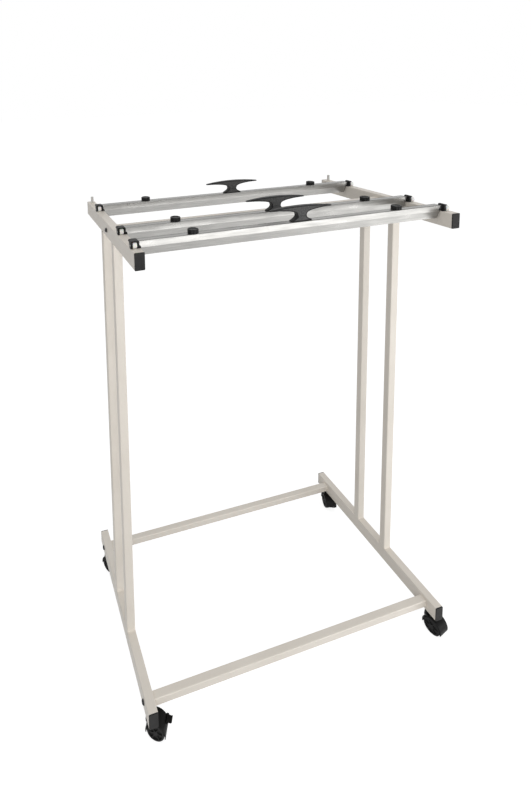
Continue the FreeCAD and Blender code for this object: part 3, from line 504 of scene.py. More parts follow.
class PaintShop:
    """Makes each slot's material once and puts it on pieces and CAD nodes."""

    def __init__(self) -> None:
        """Start with no materials made."""
        self.made: dict[Slot, bpy.types.Material] = {}

    def material(self, slot: Slot) -> bpy.types.Material:
        """Material of a slot.

        Args:
            slot: Slot of the record.

        Returns:
            The slot's one material.
        """
        if slot not in self.made:
            self.made[slot] = FINISHES[slot].make(slot.value)
        return self.made[slot]

    def coat(self, node: str, slot: Slot) -> None:
        """Put a finish on a CAD node.

        Args:
            node: Name of the node.
            slot: Slot of the finish.
        """
        node_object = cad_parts[node]
        if not node_object.material_slots:
            node_object.data.materials.append(self.material(slot))
        for material_slot in node_object.material_slots:
            material_slot.material = self.material(slot)
        LOG.info("coated %s with %s", node, slot.value)

    def issue(self, piece: bpy.types.Object, body: str, slot: Slot, *nodes: str) -> None:
        """Finish a new piece and hang it on its body.

        Args:
            piece: The piece, in place.
            body: CAD body that it moves with.
            slot: Slot of its finish.
            nodes: CAD nodes that it stands for.
        """
        piece.data.materials.clear()
        piece.data.materials.append(self.material(slot))
        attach(piece, body)
        if nodes:
            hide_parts(*nodes)
        LOG.info("built %s on %s", piece.name, body)

    def issue_rounded(
        self, node: str, name: str, radius: float, body: str, slot: Slot, steps: int = 2
    ) -> None:
        """Finish a rounded copy of a CAD node and hang it on its body in the node's place."""
        self.issue(rounded(node, name, radius, steps), body, slot, node)


# ---------------------------------------------------------------------------- mesh making
def as_piece(name: str, form: Form, smooth_angle: float = 35.0) -> bpy.types.Object:
    """Turn a form into an object with smooth faces and sharp corners.

    Args:
        name: Name of the piece.
        form: Its mesh, in place, which is freed.
        smooth_angle: Corners over this angle in degrees stay sharp.

    Returns:
        The object, linked to the scene.
    """
    bmesh.ops.recalc_face_normals(form, faces=form.faces)
    mesh = bpy.data.meshes.new(name)
    form.to_mesh(mesh)
    form.free()
    mesh.shade_smooth()
    mesh.set_sharp_from_angle(angle=math.radians(smooth_angle))
    piece = bpy.data.objects.new(name, mesh)
    bpy.context.scene.collection.objects.link(piece)
    return piece


def copied_form(node: str) -> Form:
    """Mesh of a CAD node with its flat faces made whole.

    Args:
        node: Name of the node.

    Returns:
        The form.
    """
    form = bmesh.new()
    form.from_mesh(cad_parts[node].data)
    bmesh.ops.remove_doubles(form, verts=form.verts, dist=SAME_POINT)
    bmesh.ops.dissolve_limit(form, angle_limit=SAME_FACE, verts=form.verts, edges=form.edges)
    return form


def rounded(node: str, name: str, radius: float, steps: int) -> bpy.types.Object:
    """Copy of a CAD node with its corners rounded.

    Args:
        node: Name of the node.
        name: Name of the piece.
        radius: Width of the rounding.
        steps: Facets across a corner.

    Returns:
        The piece.
    """
    piece = as_piece(name, copied_form(node))
    corner = piece.modifiers.new("rounded corners", "BEVEL")
    corner.width = radius
    corner.segments = steps
    corner.limit_method = "ANGLE"
    corner.angle_limit = ROUNDED_CORNER
    flats = piece.modifiers.new("true flats", "WEIGHTED_NORMAL")
    flats.keep_sharp = True
    return piece


@dataclass(frozen=True)
class TurningAxis:
    """Axis that a turned form is built round."""

    origin: Vector
    along: Vector

    def point(self, radius: float, height: float, angle: float) -> Vector:
        """Point beside the axis.

        Args:
            radius: Distance from the axis.
            height: Distance along it.
            angle: Turn about it, in radians.

        Returns:
            The point.
        """
        side = self.along.orthogonal().normalized()
        other = self.along.cross(side)
        radial = side * math.cos(angle) + other * math.sin(angle)
        return self.origin + self.along * height + radial * radius


def join_rings(form: Form, first: list[FormPoint], second: list[FormPoint]) -> None:
    """Join two rings of as many points by a band of faces.

    Args:
        form: Form to add to.
        first: Points of one ring.
        second: Points of the other.
    """
    for k in range(len(first)):
        after = (k + 1) % len(first)
        form.faces.new((first[k], first[after], second[after], second[k]))


def turn_form(
    form: Form,
    axis: TurningAxis,
    profile: Profile,
    steps: int,
    shaping: Shaping | None = None,
    hollow: bool = False,
) -> None:
    """Add a form turned from its profile.

    Args:
        form: Form to add to.
        axis: Turning axis.
        profile: Radius and height of each ring.
        steps: Points round a ring.
        shaping: Changes a ring's radius, from radius, height and angle.
        hollow: Join the last ring to the first in place of closing both with caps.
    """
    rings = []
    for radius, height in profile:
        ring = []
        for k in range(steps):
            angle = 2 * math.pi * k / steps
            reach = shaping(radius, height, angle) if shaping else radius
            ring.append(form.verts.new(axis.point(reach, height, angle)))
        rings.append(ring)
    pairs = list(zip(rings, rings[1:]))
    if hollow:
        pairs.append((rings[-1], rings[0]))
    for lower, upper in pairs:
        join_rings(form, lower, upper)
    if not hollow:
        form.faces.new(rings[0][::-1])
        form.faces.new(rings[-1])


@dataclass(frozen=True)
class ScrewThread:
    """Rolled thread on a straight shank."""

    diameter: float
    pitch: float = 1.25 * MM
    depth: float = 0.62 * MM
    rows_a_turn: int = 6
    steps: int = 20

    def shaping(self, radius: float, height: float, angle: float) -> float:
        """Radius on the thread's flank at a height along the shank and an angle about it."""
        turn = (height / self.pitch - angle / (2 * math.pi)) % 1.0
        return radius - self.depth * abs(2 * turn - 1)

    def add(self, form: Form, axis: TurningAxis, length: float) -> None:
        """Add the threaded shank.

        Args:
            form: Form to add to.
            axis: Axis that starts at its lower end.
            length: Length of the shank.
        """
        rows = max(2, round(length / self.pitch * self.rows_a_turn))
        profile = [(self.diameter / 2, length * k / rows) for k in range(rows + 1)]
        turn_form(form, axis, profile, self.steps, self.shaping)


@dataclass(frozen=True)
class ButtonHead:
    """Domed screw head with a hexagon socket."""

    diameter: float
    height: float
    flats: float
    socket_depth: float
    steps: int = 36
    socket_margin: float = 1.02

    def shaping(self, radius: float, height: float, angle: float) -> float:
        """Radius of a ring, which follows the hexagon inside the socket.

        Args:
            radius: Radius of the ring.
            height: Distance along the head; not used.
            angle: Turn about it.

        Returns:
            Radius at that place.
        """
        if radius > self.flats / 2 * self.socket_margin:
            return radius
        sector = math.pi / 3
        return radius / math.cos((angle + sector / 2) % sector - sector / 2)

    def add(self, form: Form, axis: TurningAxis) -> None:
        """Add the head.

        Args:
            form: Form to add to.
            axis: Axis that starts at the head's seat and points outwards.
        """
        reach, rise = self.diameter / 2, self.height
        socket = self.flats / 2
        # Seat and side, dome, and brim and wall of the socket.
        profile = [
            (reach * 0.94, 0.0), (reach, rise * 0.08), (reach, rise * 0.30),
            (reach * 0.95, rise * 0.55), (reach * 0.84, rise * 0.80), (reach * 0.68, rise * 0.96),
            (socket * 1.22, rise), (socket, rise * 0.97), (socket, rise - self.socket_depth),
        ]
        turn_form(form, axis, profile, self.steps, self.shaping)


def curve_value(a: float, b: float, c: float, d: float, share: float) -> float:
    """Value at a share of the way from b to c, on a smooth curve through all four values."""
    bend = 2 * a - 5 * b + 4 * c - d + share * (3 * b - a - 3 * c + d)
    return b + 0.5 * share * (c - a + share * bend)


def smooth_curve(points: Profile, steps: int) -> Profile:
    """Curve through a row of points.

    Args:
        points: Points that it passes through.
        steps: Points in each of its spans.

    Returns:
        The curve's points, both ends included.
    """
    curve = []
    padded = [points[0], *points, points[-1]]
    for spans in zip(padded, padded[1:], padded[2:], padded[3:]):
        for k in range(steps):
            curve.append(tuple(curve_value(*values, k / steps) for values in zip(*spans)))
    return [*curve, points[-1]]


def encloses(loop: list[Vector], point: Vector) -> bool:
    """Tell whether a point lies inside a closed loop.

    Args:
        loop: Points of the loop.
        point: Point to test.

    Returns:
        True where it lies inside.
    """
    inside = False
    for a, b in zip(loop, loop[1:] + loop[:1]):
        if (a.y > point.y) != (b.y > point.y):
            crossing = a.x + (point.y - a.y) / (b.y - a.y) * (b.x - a.x)
            inside ^= point.x < crossing
    return inside


@dataclass(frozen=True)
class FaceOutline:
    """Closed outline of a flat face, which tells how wide the face is at each point."""

    points: list[Vector]
    parallel: float = 1e-9
    nearest_side: float = 0.01

    @cached_property
    def inwards(self) -> list[Vector]:
        """Direction into the face at each point.

        Returns:
            A direction of length 1 for each point.
        """
        inwards = []
        for at in range(len(self.points)):
            along = self.points[(at + 1) % len(self.points)] - self.points[at - 1]
            inwards.append(Vector((-along.y, along.x)).normalized())
        return inwards

    @cached_property
    def widths(self) -> list[float]:
        """Distance across the face from each point."""
        return [self.width(at) for at in range(len(self.points))]

    def width(self, at: int) -> float:
        """Distance across the face from one point.

        Args:
            at: Index of the point.

        Returns:
            Distance to the other side.
        """
        start, ray, count = self.points[at], self.inwards[at], len(self.points)
        nearest = math.inf
        for k, near in enumerate(self.points):
            edge = self.points[(k + 1) % count] - near
            facing = ray.cross(edge)
            if abs(facing) < self.parallel or (k - at) % count in (0, count - 1):
                continue
            reach = (near - start).cross(edge) / facing
            place = (near - start).cross(ray) / facing
            if reach > self.nearest_side and 0.0 <= place <= 1.0:
                nearest = min(nearest, reach)
        return nearest

    def ring(self, distance: float, reach: float) -> list[Vector]:
        """Outline moved into the face.

        Args:
            distance: How far it moves.
            reach: Furthest that it may move, as a share of the face's width.

        Returns:
            Points of the ring.
        """
        return [
            point + inward * min(distance, reach * width)
            for point, inward, width in zip(self.points, self.inwards, self.widths)
        ]


@dataclass(frozen=True)
class CleatHandle:
    """Cleat-shaped handle in one moulding: waisted foot, two wings and a sunk panel on each face.

    Its outline is worked in millimetres from the middle of its foot.
    """

    low: Vector
    high: Vector
    half_waist: float = 15.6
    waist_height: float = 16.0
    foot_flare: float = 19.4
    foot_edge: float = 3.0
    foot_end_depth: float = 13.2
    grip_depth: float = 18.0
    tip_depth: float = 8.0
    tip_thickness: float = 3.6
    tip_drop: float = 7.0
    corner: float = 1.1
    rim: float = 2.6
    panel_wall: float = 0.7
    panel_sink: float = 0.9
    ledge: float = 0.35
    # Widths of the face at which the panel starts to sink and has its full depth.
    shallow_width: float = 5.5
    deep_width: float = 9.5
    # Furthest that each ring may move into the face, as a share of the face's width.
    rounding_reach: float = 0.30
    face_reach: float = 0.32
    rim_reach: float = 0.40
    panel_reach: float = 0.46
    # Spans and steps of the mesh, and how far its inner points keep from ledge and edge.
    rounding_steps: int = 4
    curve_steps: int = 6
    foot_spans: int = 16
    top_spans: int = 56
    mesh_step: float = 3.0
    mesh_margin: float = 1.2
    mesh_tolerance: float = 1e-5
    smooth_angle: float = 40.0

    @property
    def half_length(self) -> float:
        """Half of the handle's length."""
        return (self.high.x - self.low.x) / 2 / MM

    @property
    def height(self) -> float:
        """Height over foot and wings."""
        return (self.high.z - self.low.z) / MM

    @property
    def foot_depth(self) -> float:
        """Depth of the foot at its middle."""
        return (self.high.y - self.low.y) / MM

    @property
    def half_foot(self) -> float:
        """Half of the foot's length."""
        return self.half_waist + self.foot_flare

    def outline(self) -> list[Vector]:
        """Closed outline of the front face: underside, right side, top and left side.

        Returns:
            Points of the outline.
        """
        under = self.height - self.tip_drop - self.tip_thickness
        waist, rise = self.half_waist, self.waist_height
        # Flare of the foot, waist, and underside of the wing as far as its tip.
        side = smooth_curve(
            [
                (self.half_foot, self.foot_edge), (waist + 9.8, 0.46 * rise),
                (waist + 2.0, 0.76 * rise), (waist, 1.06 * rise), (waist + 4.0, 1.68 * rise),
                (waist + 22.0, under - 4.4), (waist + 54.0, under - 0.8),
                (self.half_length, under),
            ],
            self.curve_steps,
        )
        base = [
            (self.half_foot * (2 * k / self.foot_spans - 1), 0.0)
            for k in range(self.foot_spans + 1)
        ]
        top = []
        for k in range(self.top_spans + 1):
            share = 1 - 2 * k / self.top_spans
            top.append((self.half_length * share, self.height - self.tip_drop * share**2))
        other_side = [(-x, z) for x, z in reversed(side)]
        return [Vector(point) for point in base + side + top + other_side]

    def half_depth(self, point: Vector) -> float:
        """Half of the handle's depth at a place on its face.

        Args:
            point: Place on the face.

        Returns:
            Half of the depth of the foot under the ledge, or of the wings over it.
        """
        wing = (self.grip_depth - self.tip_depth) * (1 - (point.x / self.half_length) ** 2)
        foot = (self.foot_depth - self.foot_end_depth) * (1 - (point.x / self.half_foot) ** 2)
        climb = (point.y - self.waist_height + self.ledge) / (2 * self.ledge)
        share = min(1.0, max(0.0, climb))
        return ((wing + self.tip_depth) * share + (foot + self.foot_end_depth) * (1 - share)) / 2

    def inner_grid(self, loop: list[Vector]) -> list[Vector]:
        """Points spread over the sunk panel.

        Args:
            loop: Edge of the panel.

        Returns:
            Points inside it, clear of its edge.
        """
        rows = [self.mesh_step * k for k in range(1, int(self.height / self.mesh_step) + 1)]
        rows = [row for row in rows if abs(row - self.waist_height) > self.mesh_margin]
        rows += [self.waist_height - self.ledge, self.waist_height + self.ledge]
        count = int(self.half_length / self.mesh_step)
        points = []
        for row in rows:
            for k in range(-count, count + 1):
                point = Vector((self.mesh_step * k, row))
                clear = all((edge - point).length > self.mesh_margin for edge in loop)
                if clear and encloses(loop, point):
                    points.append(point)
        return points

    def sinks(self, outline: FaceOutline) -> list[float]:
        """Depth of the panel's edge, which fades out where the face is narrow.

        Args:
            outline: Outline of the face.

        Returns:
            Depth at each point of the outline.
        """
        fade = self.deep_width - self.shallow_width
        return [
            self.panel_sink * min(1.0, max(0.0, (width - self.shallow_width) / fade))
            for width in outline.widths
        ]

    def add_point(
        self, form: Form, point: Vector, side: float, lift: float, mask: float = 0.0
    ) -> FormPoint:
        """Add a point of the front or rear face.

        Args:
            form: Form to add to.
            point: Place on the face.
            side: -1 on the front face and 1 on the rear one.
            lift: How far the point lies in from the face.
            mask: Mark of the sunk panel, from 0 outside to 1 inside.

        Returns:
            The point in the form.
        """
        middle = (self.low + self.high) / 2
        depth = side * (self.half_depth(point) - lift) * MM
        place = (middle.x + point.x * MM, middle.y + depth, self.low.z + point.y * MM)
        vert = form.verts.new(place)
        vert[form.verts.layers.float[PANEL_MASK]] = mask
        return vert

    def rounding(self, form: Form, outline: FaceOutline, side: float) -> list[list[FormPoint]]:
        """Add the rings of the rounded edge between the handle's rim and a face.

        Args:
            form: Form to add to.
            outline: Outline of the face.
            side: -1 on the front face and 1 on the rear one.

        Returns:
            The rings, from the rim inwards.
        """
        rings = []
        for k in range(self.rounding_steps):
            turn = math.pi / 2 * k / self.rounding_steps
            ring = outline.ring(self.corner * (1 - math.cos(turn)), self.rounding_reach)
            lift = self.corner * (1 - math.sin(turn))
            rings.append([self.add_point(form, point, side, lift) for point in ring])
        return rings

    def build(self, name: str) -> bpy.types.Object:
        """Build the handle.

        Args:
            name: Name of the piece.

        Returns:
            The piece, in place.
        """
        outline = FaceOutline(self.outline())
        count = len(outline.points)
        panel_loop = outline.ring(self.rim + self.panel_wall, self.panel_reach)
        grid = self.inner_grid(panel_loop)
        flat = [
            *outline.ring(self.corner, self.face_reach), *outline.ring(self.rim, self.rim_reach),
            *panel_loop, *grid,
        ]
        drops = [0.0] * (2 * count) + self.sinks(outline) + [self.panel_sink] * len(grid)
        seams = [
            [first + k, first + (k + 1) % count]
            for first in (count, 2 * count)
            for k in range(count)
        ]
        places, _, faces, sources, _, _ = delaunay_2d_cdt(
            flat, seams, [list(range(count))], 1, self.mesh_tolerance
        )
        form = bmesh.new()
        form.verts.layers.float.new(PANEL_MASK)
        rims = []
        for side in (-1.0, 1.0):
            verts = []
            for place, source in zip(places, sources):
                lift = drops[source[0]] if source else 0.0
                verts.append(self.add_point(form, place, side, lift, lift / self.panel_sink))
            for face in faces:
                form.faces.new([verts[k] for k in face])
            owner = {k: vert for vert, source in zip(verts, sources) for k in source if k < count}
            rings = [*self.rounding(form, outline, side), [owner[k] for k in range(count)]]
            rims.append(rings[0])
            for outer, inner in zip(rings, rings[1:]):
                join_rings(form, outer, inner)
        join_rings(form, *rims)
        return as_piece(name, form, self.smooth_angle)


# ---------------------------------------------------------------------------- frame
@dataclass
class WeldedFrame:
    """Two side frames of painted tube, the cross tubes between them and what is fixed to them."""

    shop: PaintShop
    body: str = "frame"
    tubes: tuple[str, ...] = (
        "left_arm", "right_arm", "left_base_rail", "right_base_rail", "left_front_upright",
        "left_rear_upright", "right_front_upright", "right_rear_upright", "top_cross_bar",
        "front_cross_rail", "rear_cross_rail",
    )
    bead_radius: float = 1.5 * MM
    bead_ripple: float = 2.6 * MM
    bead_inset: float = 2.6 * MM
    bead_lift: float = 0.15
    bead_swell: float = 0.10
    bead_end: float = 0.25
    bead_fade: float = 1.4
    bead_rows: int = 4
    bead_steps: int = 12
    bead_smooth_angle: float = 70.0
    bolt_diameter: float = 8.0 * MM
    bolt_reach: float = 50.0 * MM
    bolt_head: ButtonHead = ButtonHead(
        diameter=14.0 * MM, height=4.2 * MM, flats=5.0 * MM, socket_depth=2.4 * MM
    )
    washer_diameter: float = 16.0 * MM
    washer_thickness: float = 1.2 * MM
    washer_play: float = 0.2 * MM
    washer_edge: float = 0.25 * MM
    washer_steps: int = 36
    cap_corner: float = 0.7 * MM
    pin_corner: float = 0.8 * MM
    stem_corner: float = 0.4 * MM
    insert_corner: float = 0.5 * MM

    def build(self) -> None:
        """Build and dress every piece of the frame."""
        for tube in self.tubes:
            self.shop.coat(tube, Slot.CREAM_PAINT)
        self.build_weld_beads()
        self.build_bolts()
        for node, name, corner, slot, steps in (
            ("tube_end_caps", "tube_end_cap_set", self.cap_corner, Slot.BLACK_CAP, 2),
            ("rear_stop_pins", "rear_stop_pin_pair", self.pin_corner, Slot.PALE_NYLON, 3),
            ("castor_stems", "castor_stem_set", self.stem_corner, Slot.ZINC_STEEL, 2),
            (
                "cross_tube_inserts", "cross_tube_insert_set", self.insert_corner,
                Slot.ZINC_STEEL, 2,
            ),
        ):
            self.shop.issue_rounded(node, name, corner, self.body, slot, steps)

    def build_weld_beads(self) -> None:
        """Build the painted weld across the front and rear of each upright's two ends."""
        for side in Side:
            form = bmesh.new()
            for end in ("front", "rear"):
                low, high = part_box(f"{side.value}_{end}_upright")
                for z, rise in ((low.z, 1.0), (high.z, -1.0)):
                    for y, out in ((low.y, -1.0), (high.y, 1.0)):
                        start = Vector((low.x + self.bead_inset, y, z))
                        finish = Vector((high.x - self.bead_inset, y, z))
                        self.add_bead(form, start, finish, Vector((0.0, out, rise)).normalized())
            beads = as_piece(f"{side.value}_weld_beads", form, self.bead_smooth_angle)
            self.shop.issue(beads, self.body, Slot.CREAM_PAINT)

    def add_bead(self, form: Form, start: Vector, finish: Vector, outward: Vector) -> None:
        """Add one rippled weld in an inner corner, thinner at its ends.

        Args:
            form: Form to add to.
            start: Bead's start in the corner.
            finish: Bead's end in the corner.
            outward: Direction out of the corner.
        """
        length = (finish - start).length
        middle = start + outward * self.bead_radius * self.bead_lift
        axis = TurningAxis(middle, (finish - start).normalized())
        rows = round(length / self.bead_ripple * self.bead_rows)
        profile = []
        for k in range(rows + 1):
            along = length * k / rows
            to_end = min(along, length - along)
            end_fade = min(1.0, self.bead_end + to_end / (self.bead_fade * self.bead_radius))
            ripple = 1.0 + self.bead_swell * math.cos(2 * math.pi * along / self.bead_ripple)
            profile.append((self.bead_radius * end_fade * ripple, along))
        turn_form(form, axis, profile, self.bead_steps)

    def washer_profile(self) -> Profile:
        """Half section of a washer with softened outer edges.

        Returns:
            Radius and height of each of its corners.
        """
        hole, rim = self.bolt_diameter / 2 + self.washer_play, self.washer_diameter / 2
        top, edge = self.washer_thickness, self.washer_edge
        return [
            (hole, 0.0), (rim - self.washer_play, 0.0), (rim, edge), (rim, top - edge),
            (rim - edge, top), (hole, top),
        ]

    def build_bolts(self) -> None:
        """Build the six bolts that hold the cross tubes, with their washers."""
        form = bmesh.new()
        thread, washer = ScrewThread(self.bolt_diameter), self.washer_profile()
        for cross_tube in ("top_cross_bar", "front_cross_rail", "rear_cross_rail"):
            low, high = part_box(cross_tube)
            middle = (low + high) / 2
            for side_tube, out in (("left_arm", -1.0), ("right_arm", 1.0)):
                tube_low, tube_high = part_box(side_tube)
                face = tube_low.x if out < 0 else tube_high.x
                outward = Vector((out, 0.0, 0.0))
                seat = Vector((face, middle.y, middle.z))
                on_washer = TurningAxis(seat + outward * self.washer_thickness, outward)
                inside = TurningAxis(seat - outward * self.bolt_reach, outward)
                turn_form(form, TurningAxis(seat, outward), washer, self.washer_steps, hollow=True)
                self.bolt_head.add(form, on_washer)
                thread.add(form, inside, self.bolt_reach)
        bolts = as_piece("frame_bolt_set", form)
        self.shop.issue(bolts, self.body, Slot.BLACK_STEEL, "frame_bolts")


# ---------------------------------------------------------------------------- castors
@dataclass
class Castor:
    """Hooded twin-wheel castor of one corner."""

    shop: PaintShop
    corner: Corner
    braked: bool = False
    hood_corner: float = 0.7 * MM
    wheel_corner: float = 0.6 * MM
    axle_corner: float = 0.4 * MM
    lever_corner: float = 0.6 * MM

    def build(self) -> None:
        """Build and dress every piece of the castor."""
        corner = self.corner.value
        castor, wheelset = f"{corner}_castor", f"{corner}_wheelset"
        hood, wheels, axle = f"{castor}_hood", f"{castor}_wheels", f"{castor}_axle"
        issue = self.shop.issue_rounded
        issue(hood, f"{hood}_shell", self.hood_corner, castor, Slot.CASTOR_BLACK, 3)
        issue(wheels, f"{wheels}_pair", self.wheel_corner, wheelset, Slot.CASTOR_WHEEL_BLACK, 3)
        issue(axle, f"{axle}_pin", self.axle_corner, castor, Slot.ZINC_STEEL)
        if self.braked:
            lever, brake = f"{corner}_brake_lever", f"{corner}_brake"
            issue(lever, f"{brake}_tab", self.lever_corner, brake, Slot.CASTOR_BLACK, 3)


# ---------------------------------------------------------------------------- clamps
@dataclass
class ClampBar:
    """One sliding clamp: channel, wedge bar, handle, two knobs, two brackets and two rollers."""

    shop: PaintShop
    position: Position
    knob_radius: float = 16.0 * MM
    knob_height: float = 13.0 * MM
    knob_dish: float = 0.72
    flute_count: int = 10
    flute_steps: int = 12
    flute_depth: float = 1.53 * MM
    flute_half_angle: float = 0.178
    stud_diameter: float = 8.0 * MM
    stud_overlap: float = 1.0 * MM
    roller_pin: float = 4.0 * MM
    roller_play: float = 0.1 * MM
    roller_steps: int = 48
    channel_corner: float = 0.25 * MM
    wedge_corner: float = 0.5 * MM
    bracket_corner: float = 0.7 * MM
    fixing_corner: float = 0.35 * MM

    def build(self) -> None:
        """Build and dress every piece of the clamp."""
        position = self.position.value
        clamp, wedge = f"{position}_clamp", f"{position}_wedge"
        channel, bar, fixings = f"{clamp}_channel", f"{wedge}_bar", f"{clamp}_fixings"
        issue = self.shop.issue_rounded
        aluminium = Slot.SATIN_ALUMINIUM
        issue(channel, f"{channel}_extrusion", self.channel_corner, clamp, aluminium)
        issue(bar, f"{bar}_extrusion", self.wedge_corner, wedge, aluminium)
        handle = f"{position}_handle"
        piece = CleatHandle(*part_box(handle)).build(f"{handle}_moulding")
        self.shop.issue(piece, clamp, Slot.MOULDED_BLACK, handle)
        issue(fixings, f"{fixings}_set", self.fixing_corner, clamp, Slot.ZINC_STEEL)
        for side in Side:
            end = f"{position}_{side.value}"
            bracket, name = f"{end}_bracket", f"{end}_bracket_moulding"
            issue(bracket, name, self.bracket_corner, clamp, Slot.MOULDED_BLACK, 3)
            self.build_knob(f"{end}_knob")
            self.build_roller(f"{end}_roller")

    def knob_shaping(self, radius: float, height: float, angle: float) -> float:
        """Radius of the knob's rim, cut in by its flutes.

        Args:
            radius: Radius of the ring.
            height: Height above the knob's underside; not used.
            angle: Turn about the knob.

        Returns:
            Radius at that place.
        """
        inner = self.knob_dish * self.knob_radius
        if radius <= inner:
            return radius
        spacing = 2 * math.pi / self.flute_count
        off_middle = abs((angle % spacing) - spacing / 2) / self.flute_half_angle
        depth = self.flute_depth * max(0.0, 1.0 - off_middle**2)
        return radius - depth * (radius - inner) / (self.knob_radius - inner)

    def build_knob(self, node: str) -> None:
        """Build a thumb knob: a fluted, dished head on a threaded stud.

        Args:
            node: Node of the knob, which is also its body.
        """
        low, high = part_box(node)
        middle = (low + high) / 2
        base = high.z - self.knob_height
        rim, rise = self.knob_radius, self.knob_height
        # Underside, fluted side, rounded brim, and the dish in the top.
        profile = [
            (0.62 * rim, 0.0), (0.96 * rim, 0.0), (0.99 * rim, 0.025 * rise), (rim, 0.07 * rise),
            (rim, 0.50 * rise), (rim, 0.91 * rise), (0.99 * rim, 0.96 * rise),
            (0.965 * rim, 0.99 * rise), (0.93 * rim, rise), (0.76 * rim, rise),
            (0.73 * rim, 0.985 * rise), (0.71 * rim, 0.93 * rise), (0.68 * rim, 0.90 * rise),
            (0.30 * rim, 0.88 * rise),
        ]
        form = bmesh.new()
        axis = TurningAxis(Vector((middle.x, middle.y, base)), UPWARDS)
        turn_form(form, axis, profile, self.flute_steps * self.flute_count, self.knob_shaping)
        shank = TurningAxis(Vector((middle.x, middle.y, low.z)), UPWARDS)
        ScrewThread(self.stud_diameter).add(form, shank, base - low.z + self.stud_overlap)
        self.shop.issue(as_piece(f"{node}_and_stud", form), node, Slot.MOULDED_BLACK, node)

    def build_roller(self, node: str) -> None:
        """Build a white roller with rounded rims and a ring recess round its bore.

        Args:
            node: Node of the roller, which is also its body.
        """
        low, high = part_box(node)
        middle = (low + high) / 2
        width, rim = high.x - low.x, (high.z - low.z) / 2
        # One half of the section: boss, ring recess, side face and rounded rim.
        half = [
            (self.roller_pin / 2 + self.roller_play, 0.3 * MM), (3.4 * MM, 0.3 * MM),
            (3.7 * MM, 0.9 * MM), (5.2 * MM, 0.9 * MM), (5.5 * MM, 0.05 * MM),
            (rim - 2.0 * MM, 0.0), (rim - 1.0 * MM, 0.35 * MM), (rim - 0.35 * MM, 1.0 * MM),
            (rim, 2.0 * MM),
        ]
        profile = half + [(radius, width - height) for radius, height in reversed(half)]
        form = bmesh.new()
        axis = TurningAxis(Vector((low.x, middle.y, middle.z)), Vector((1.0, 0.0, 0.0)))
        turn_form(form, axis, profile, self.roller_steps, hollow=True)
        self.shop.issue(as_piece(f"{node}_turned", form), node, Slot.WHITE_NYLON, node)


# ---------------------------------------------------------------------------- studio
@dataclass(frozen=True)
class Softbox:
    """Soft rectangular lamp."""

    name: str
    place: Place
    target: Place
    face: tuple[float, float]
    watts: float

    def hang(self) -> None:
        """Hang the lamp and point it at its target."""
        data = bpy.data.lights.new(self.name, "AREA")
        data.shape = "RECTANGLE"
        data.size, data.size_y = self.face
        data.energy = self.watts
        lamp = bpy.data.objects.new(self.name, data)
        lamp.visible_camera = False
        lamp.location = self.place
        beam = Vector(self.target) - Vector(self.place)
        lamp.rotation_euler = beam.to_track_quat("-Z", "Y").to_euler()
        bpy.context.scene.collection.objects.link(lamp)


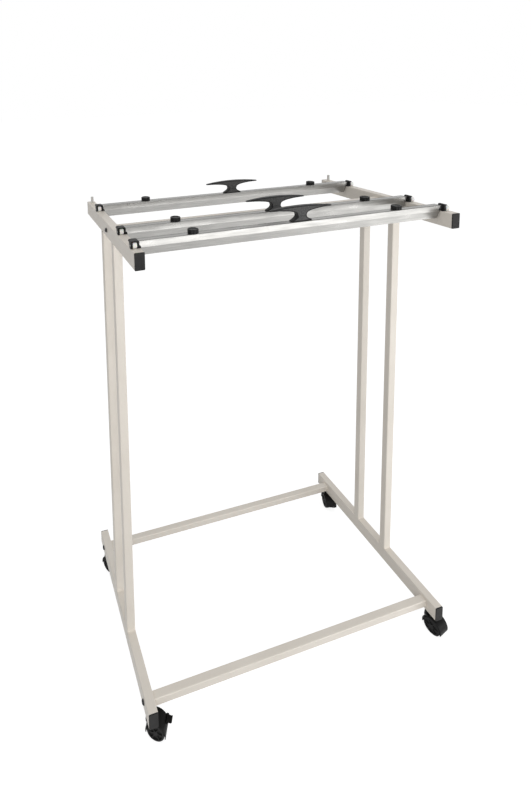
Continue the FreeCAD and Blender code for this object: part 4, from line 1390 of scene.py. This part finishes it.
@dataclass
class Studio:
    """Camera, lamps, white surroundings and floor."""

    picture: tuple[int, int] = (531, 800)
    sensor: float = 36.0
    camera_place: Place = (-0.9019874, -1.5081863, 1.9875205)
    yaw: float = 0.24787506
    pitch: float = -0.10783823
    roll: float = -0.03576406
    focal_pixels: float = 480.6185
    principal_pixel: tuple[float, float] = (112.0412, 139.6405)
    surroundings: float = 0.50
    floor_size: float = 60.0
    floor_tone: float = 0.42
    floor_lift: float = 0.82
    lamps: tuple[Softbox, ...] = (
        Softbox("front_softbox", (2.1, -3.2, 0.85), (1.9, 0.0, 1.1), (4.2, 1.5), 56.0),
        Softbox("low_strip", (1.4, -1.95, 0.12), (0.6, -0.3, 1.5), (3.0, 0.4), 8.0),
        Softbox("left_softbox", (-1.3, -2.4, 1.9), (0.2, -0.1, 1.4), (1.2, 1.2), 17.0),
        Softbox("top_softbox", (0.2, -0.2, 4.6), (0.0, 0.0, 0.8), (3.0, 3.0), 17.0),
    )

    def build(self) -> None:
        """Set up the whole studio."""
        bpy.context.scene.view_settings.view_transform = "Standard"
        self.build_camera()
        self.build_world()
        self.build_floor()
        for lamp in self.lamps:
            lamp.hang()

    def build_camera(self) -> None:
        """Place the camera."""
        width, height = self.picture
        forward = Vector(
            (
                math.sin(self.yaw) * math.cos(self.pitch),
                math.cos(self.yaw) * math.cos(self.pitch),
                math.sin(self.pitch),
            )
        )
        level = Vector((math.cos(self.yaw), -math.sin(self.yaw), 0.0))
        upward = level.cross(forward)
        right = math.cos(self.roll) * level + math.sin(self.roll) * upward
        top = math.cos(self.roll) * upward - math.sin(self.roll) * level
        place = Vector(self.camera_place)
        data = bpy.data.cameras.new("camera")
        data.sensor_fit = "VERTICAL"
        data.sensor_height = self.sensor
        data.sensor_width = self.sensor * width / height
        data.lens = self.focal_pixels * self.sensor / height
        data.shift_x = (width / 2 - self.principal_pixel[0]) / height
        data.shift_y = (self.principal_pixel[1] - height / 2) / height
        camera = bpy.data.objects.new("camera", data)
        turn = Matrix((right, top, -forward)).transposed().to_4x4()
        camera.matrix_world = Matrix.Translation(place) @ turn
        bpy.context.scene.collection.objects.link(camera)
        bpy.context.scene.camera = camera

    def seen_directly(self, tree: bpy.types.NodeTree) -> Signal:
        """Rays that see a surface by eye, in a gloss or through glass.

        Args:
            tree: Tree to add the nodes to.

        Returns:
            Value that is 1 for those rays and 0 for light.
        """
        path = tree.nodes.new("ShaderNodeLightPath")
        total = path.outputs["Is Camera Ray"]
        for name in ("Is Glossy Ray", "Is Transmission Ray"):
            either = tree.nodes.new("ShaderNodeMath")
            either.operation = "MAXIMUM"
            tree.links.new(total, either.inputs[0])
            tree.links.new(path.outputs[name], either.inputs[1])
            total = either.outputs[0]
        return total

    def build_world(self) -> None:
        """Surround the rack with white that lights it at a plain level."""
        world = bpy.data.worlds.new("white_surroundings")
        world.use_nodes = True
        tree = world.node_tree
        strength = tree.nodes.new("ShaderNodeMapRange")
        strength.inputs["To Min"].default_value = self.surroundings
        strength.inputs["To Max"].default_value = 1.0
        tree.links.new(self.seen_directly(tree), strength.inputs["Value"])
        background = tree.nodes["Background"]
        background.inputs["Color"].default_value = (1.0, 1.0, 1.0, 1.0)
        tree.links.new(strength.outputs["Result"], background.inputs["Strength"])
        bpy.context.scene.world = world

    def build_floor(self) -> None:
        """Lay the white floor, which keeps the rack's shadow."""
        form = bmesh.new()
        bmesh.ops.create_grid(form, x_segments=8, y_segments=8, size=self.floor_size / 2)
        floor = as_piece("studio_floor", form)
        material = bpy.data.materials.new("white_floor")
        material.use_nodes = True
        tree = material.node_tree
        tree.nodes.remove(tree.nodes["Principled BSDF"])
        matt = tree.nodes.new("ShaderNodeBsdfDiffuse")
        matt.inputs["Color"].default_value = (*grey(self.floor_tone), 1.0)
        glow = tree.nodes.new("ShaderNodeEmission")
        lift = tree.nodes.new("ShaderNodeMath")
        lift.operation = "MULTIPLY"
        lift.inputs[1].default_value = self.floor_lift
        tree.links.new(self.seen_directly(tree), lift.inputs[0])
        tree.links.new(lift.outputs[0], glow.inputs["Strength"])
        both = tree.nodes.new("ShaderNodeAddShader")
        tree.links.new(matt.outputs[0], both.inputs[0])
        tree.links.new(glow.outputs[0], both.inputs[1])
        tree.links.new(both.outputs[0], tree.nodes["Material Output"].inputs["Surface"])
        floor.data.materials.append(material)


def main() -> None:
    """Build the rack's looks piece by piece, then the studio."""
    logging.basicConfig(level=logging.INFO, format="%(message)s")
    shop = PaintShop()
    WeldedFrame(shop).build()
    for corner in Corner:
        Castor(shop, corner, braked=corner is Corner.FRONT_LEFT).build()
    for position in Position:
        ClampBar(shop, position).build()
    Studio().build()


if __name__ == "__main__":
    main()
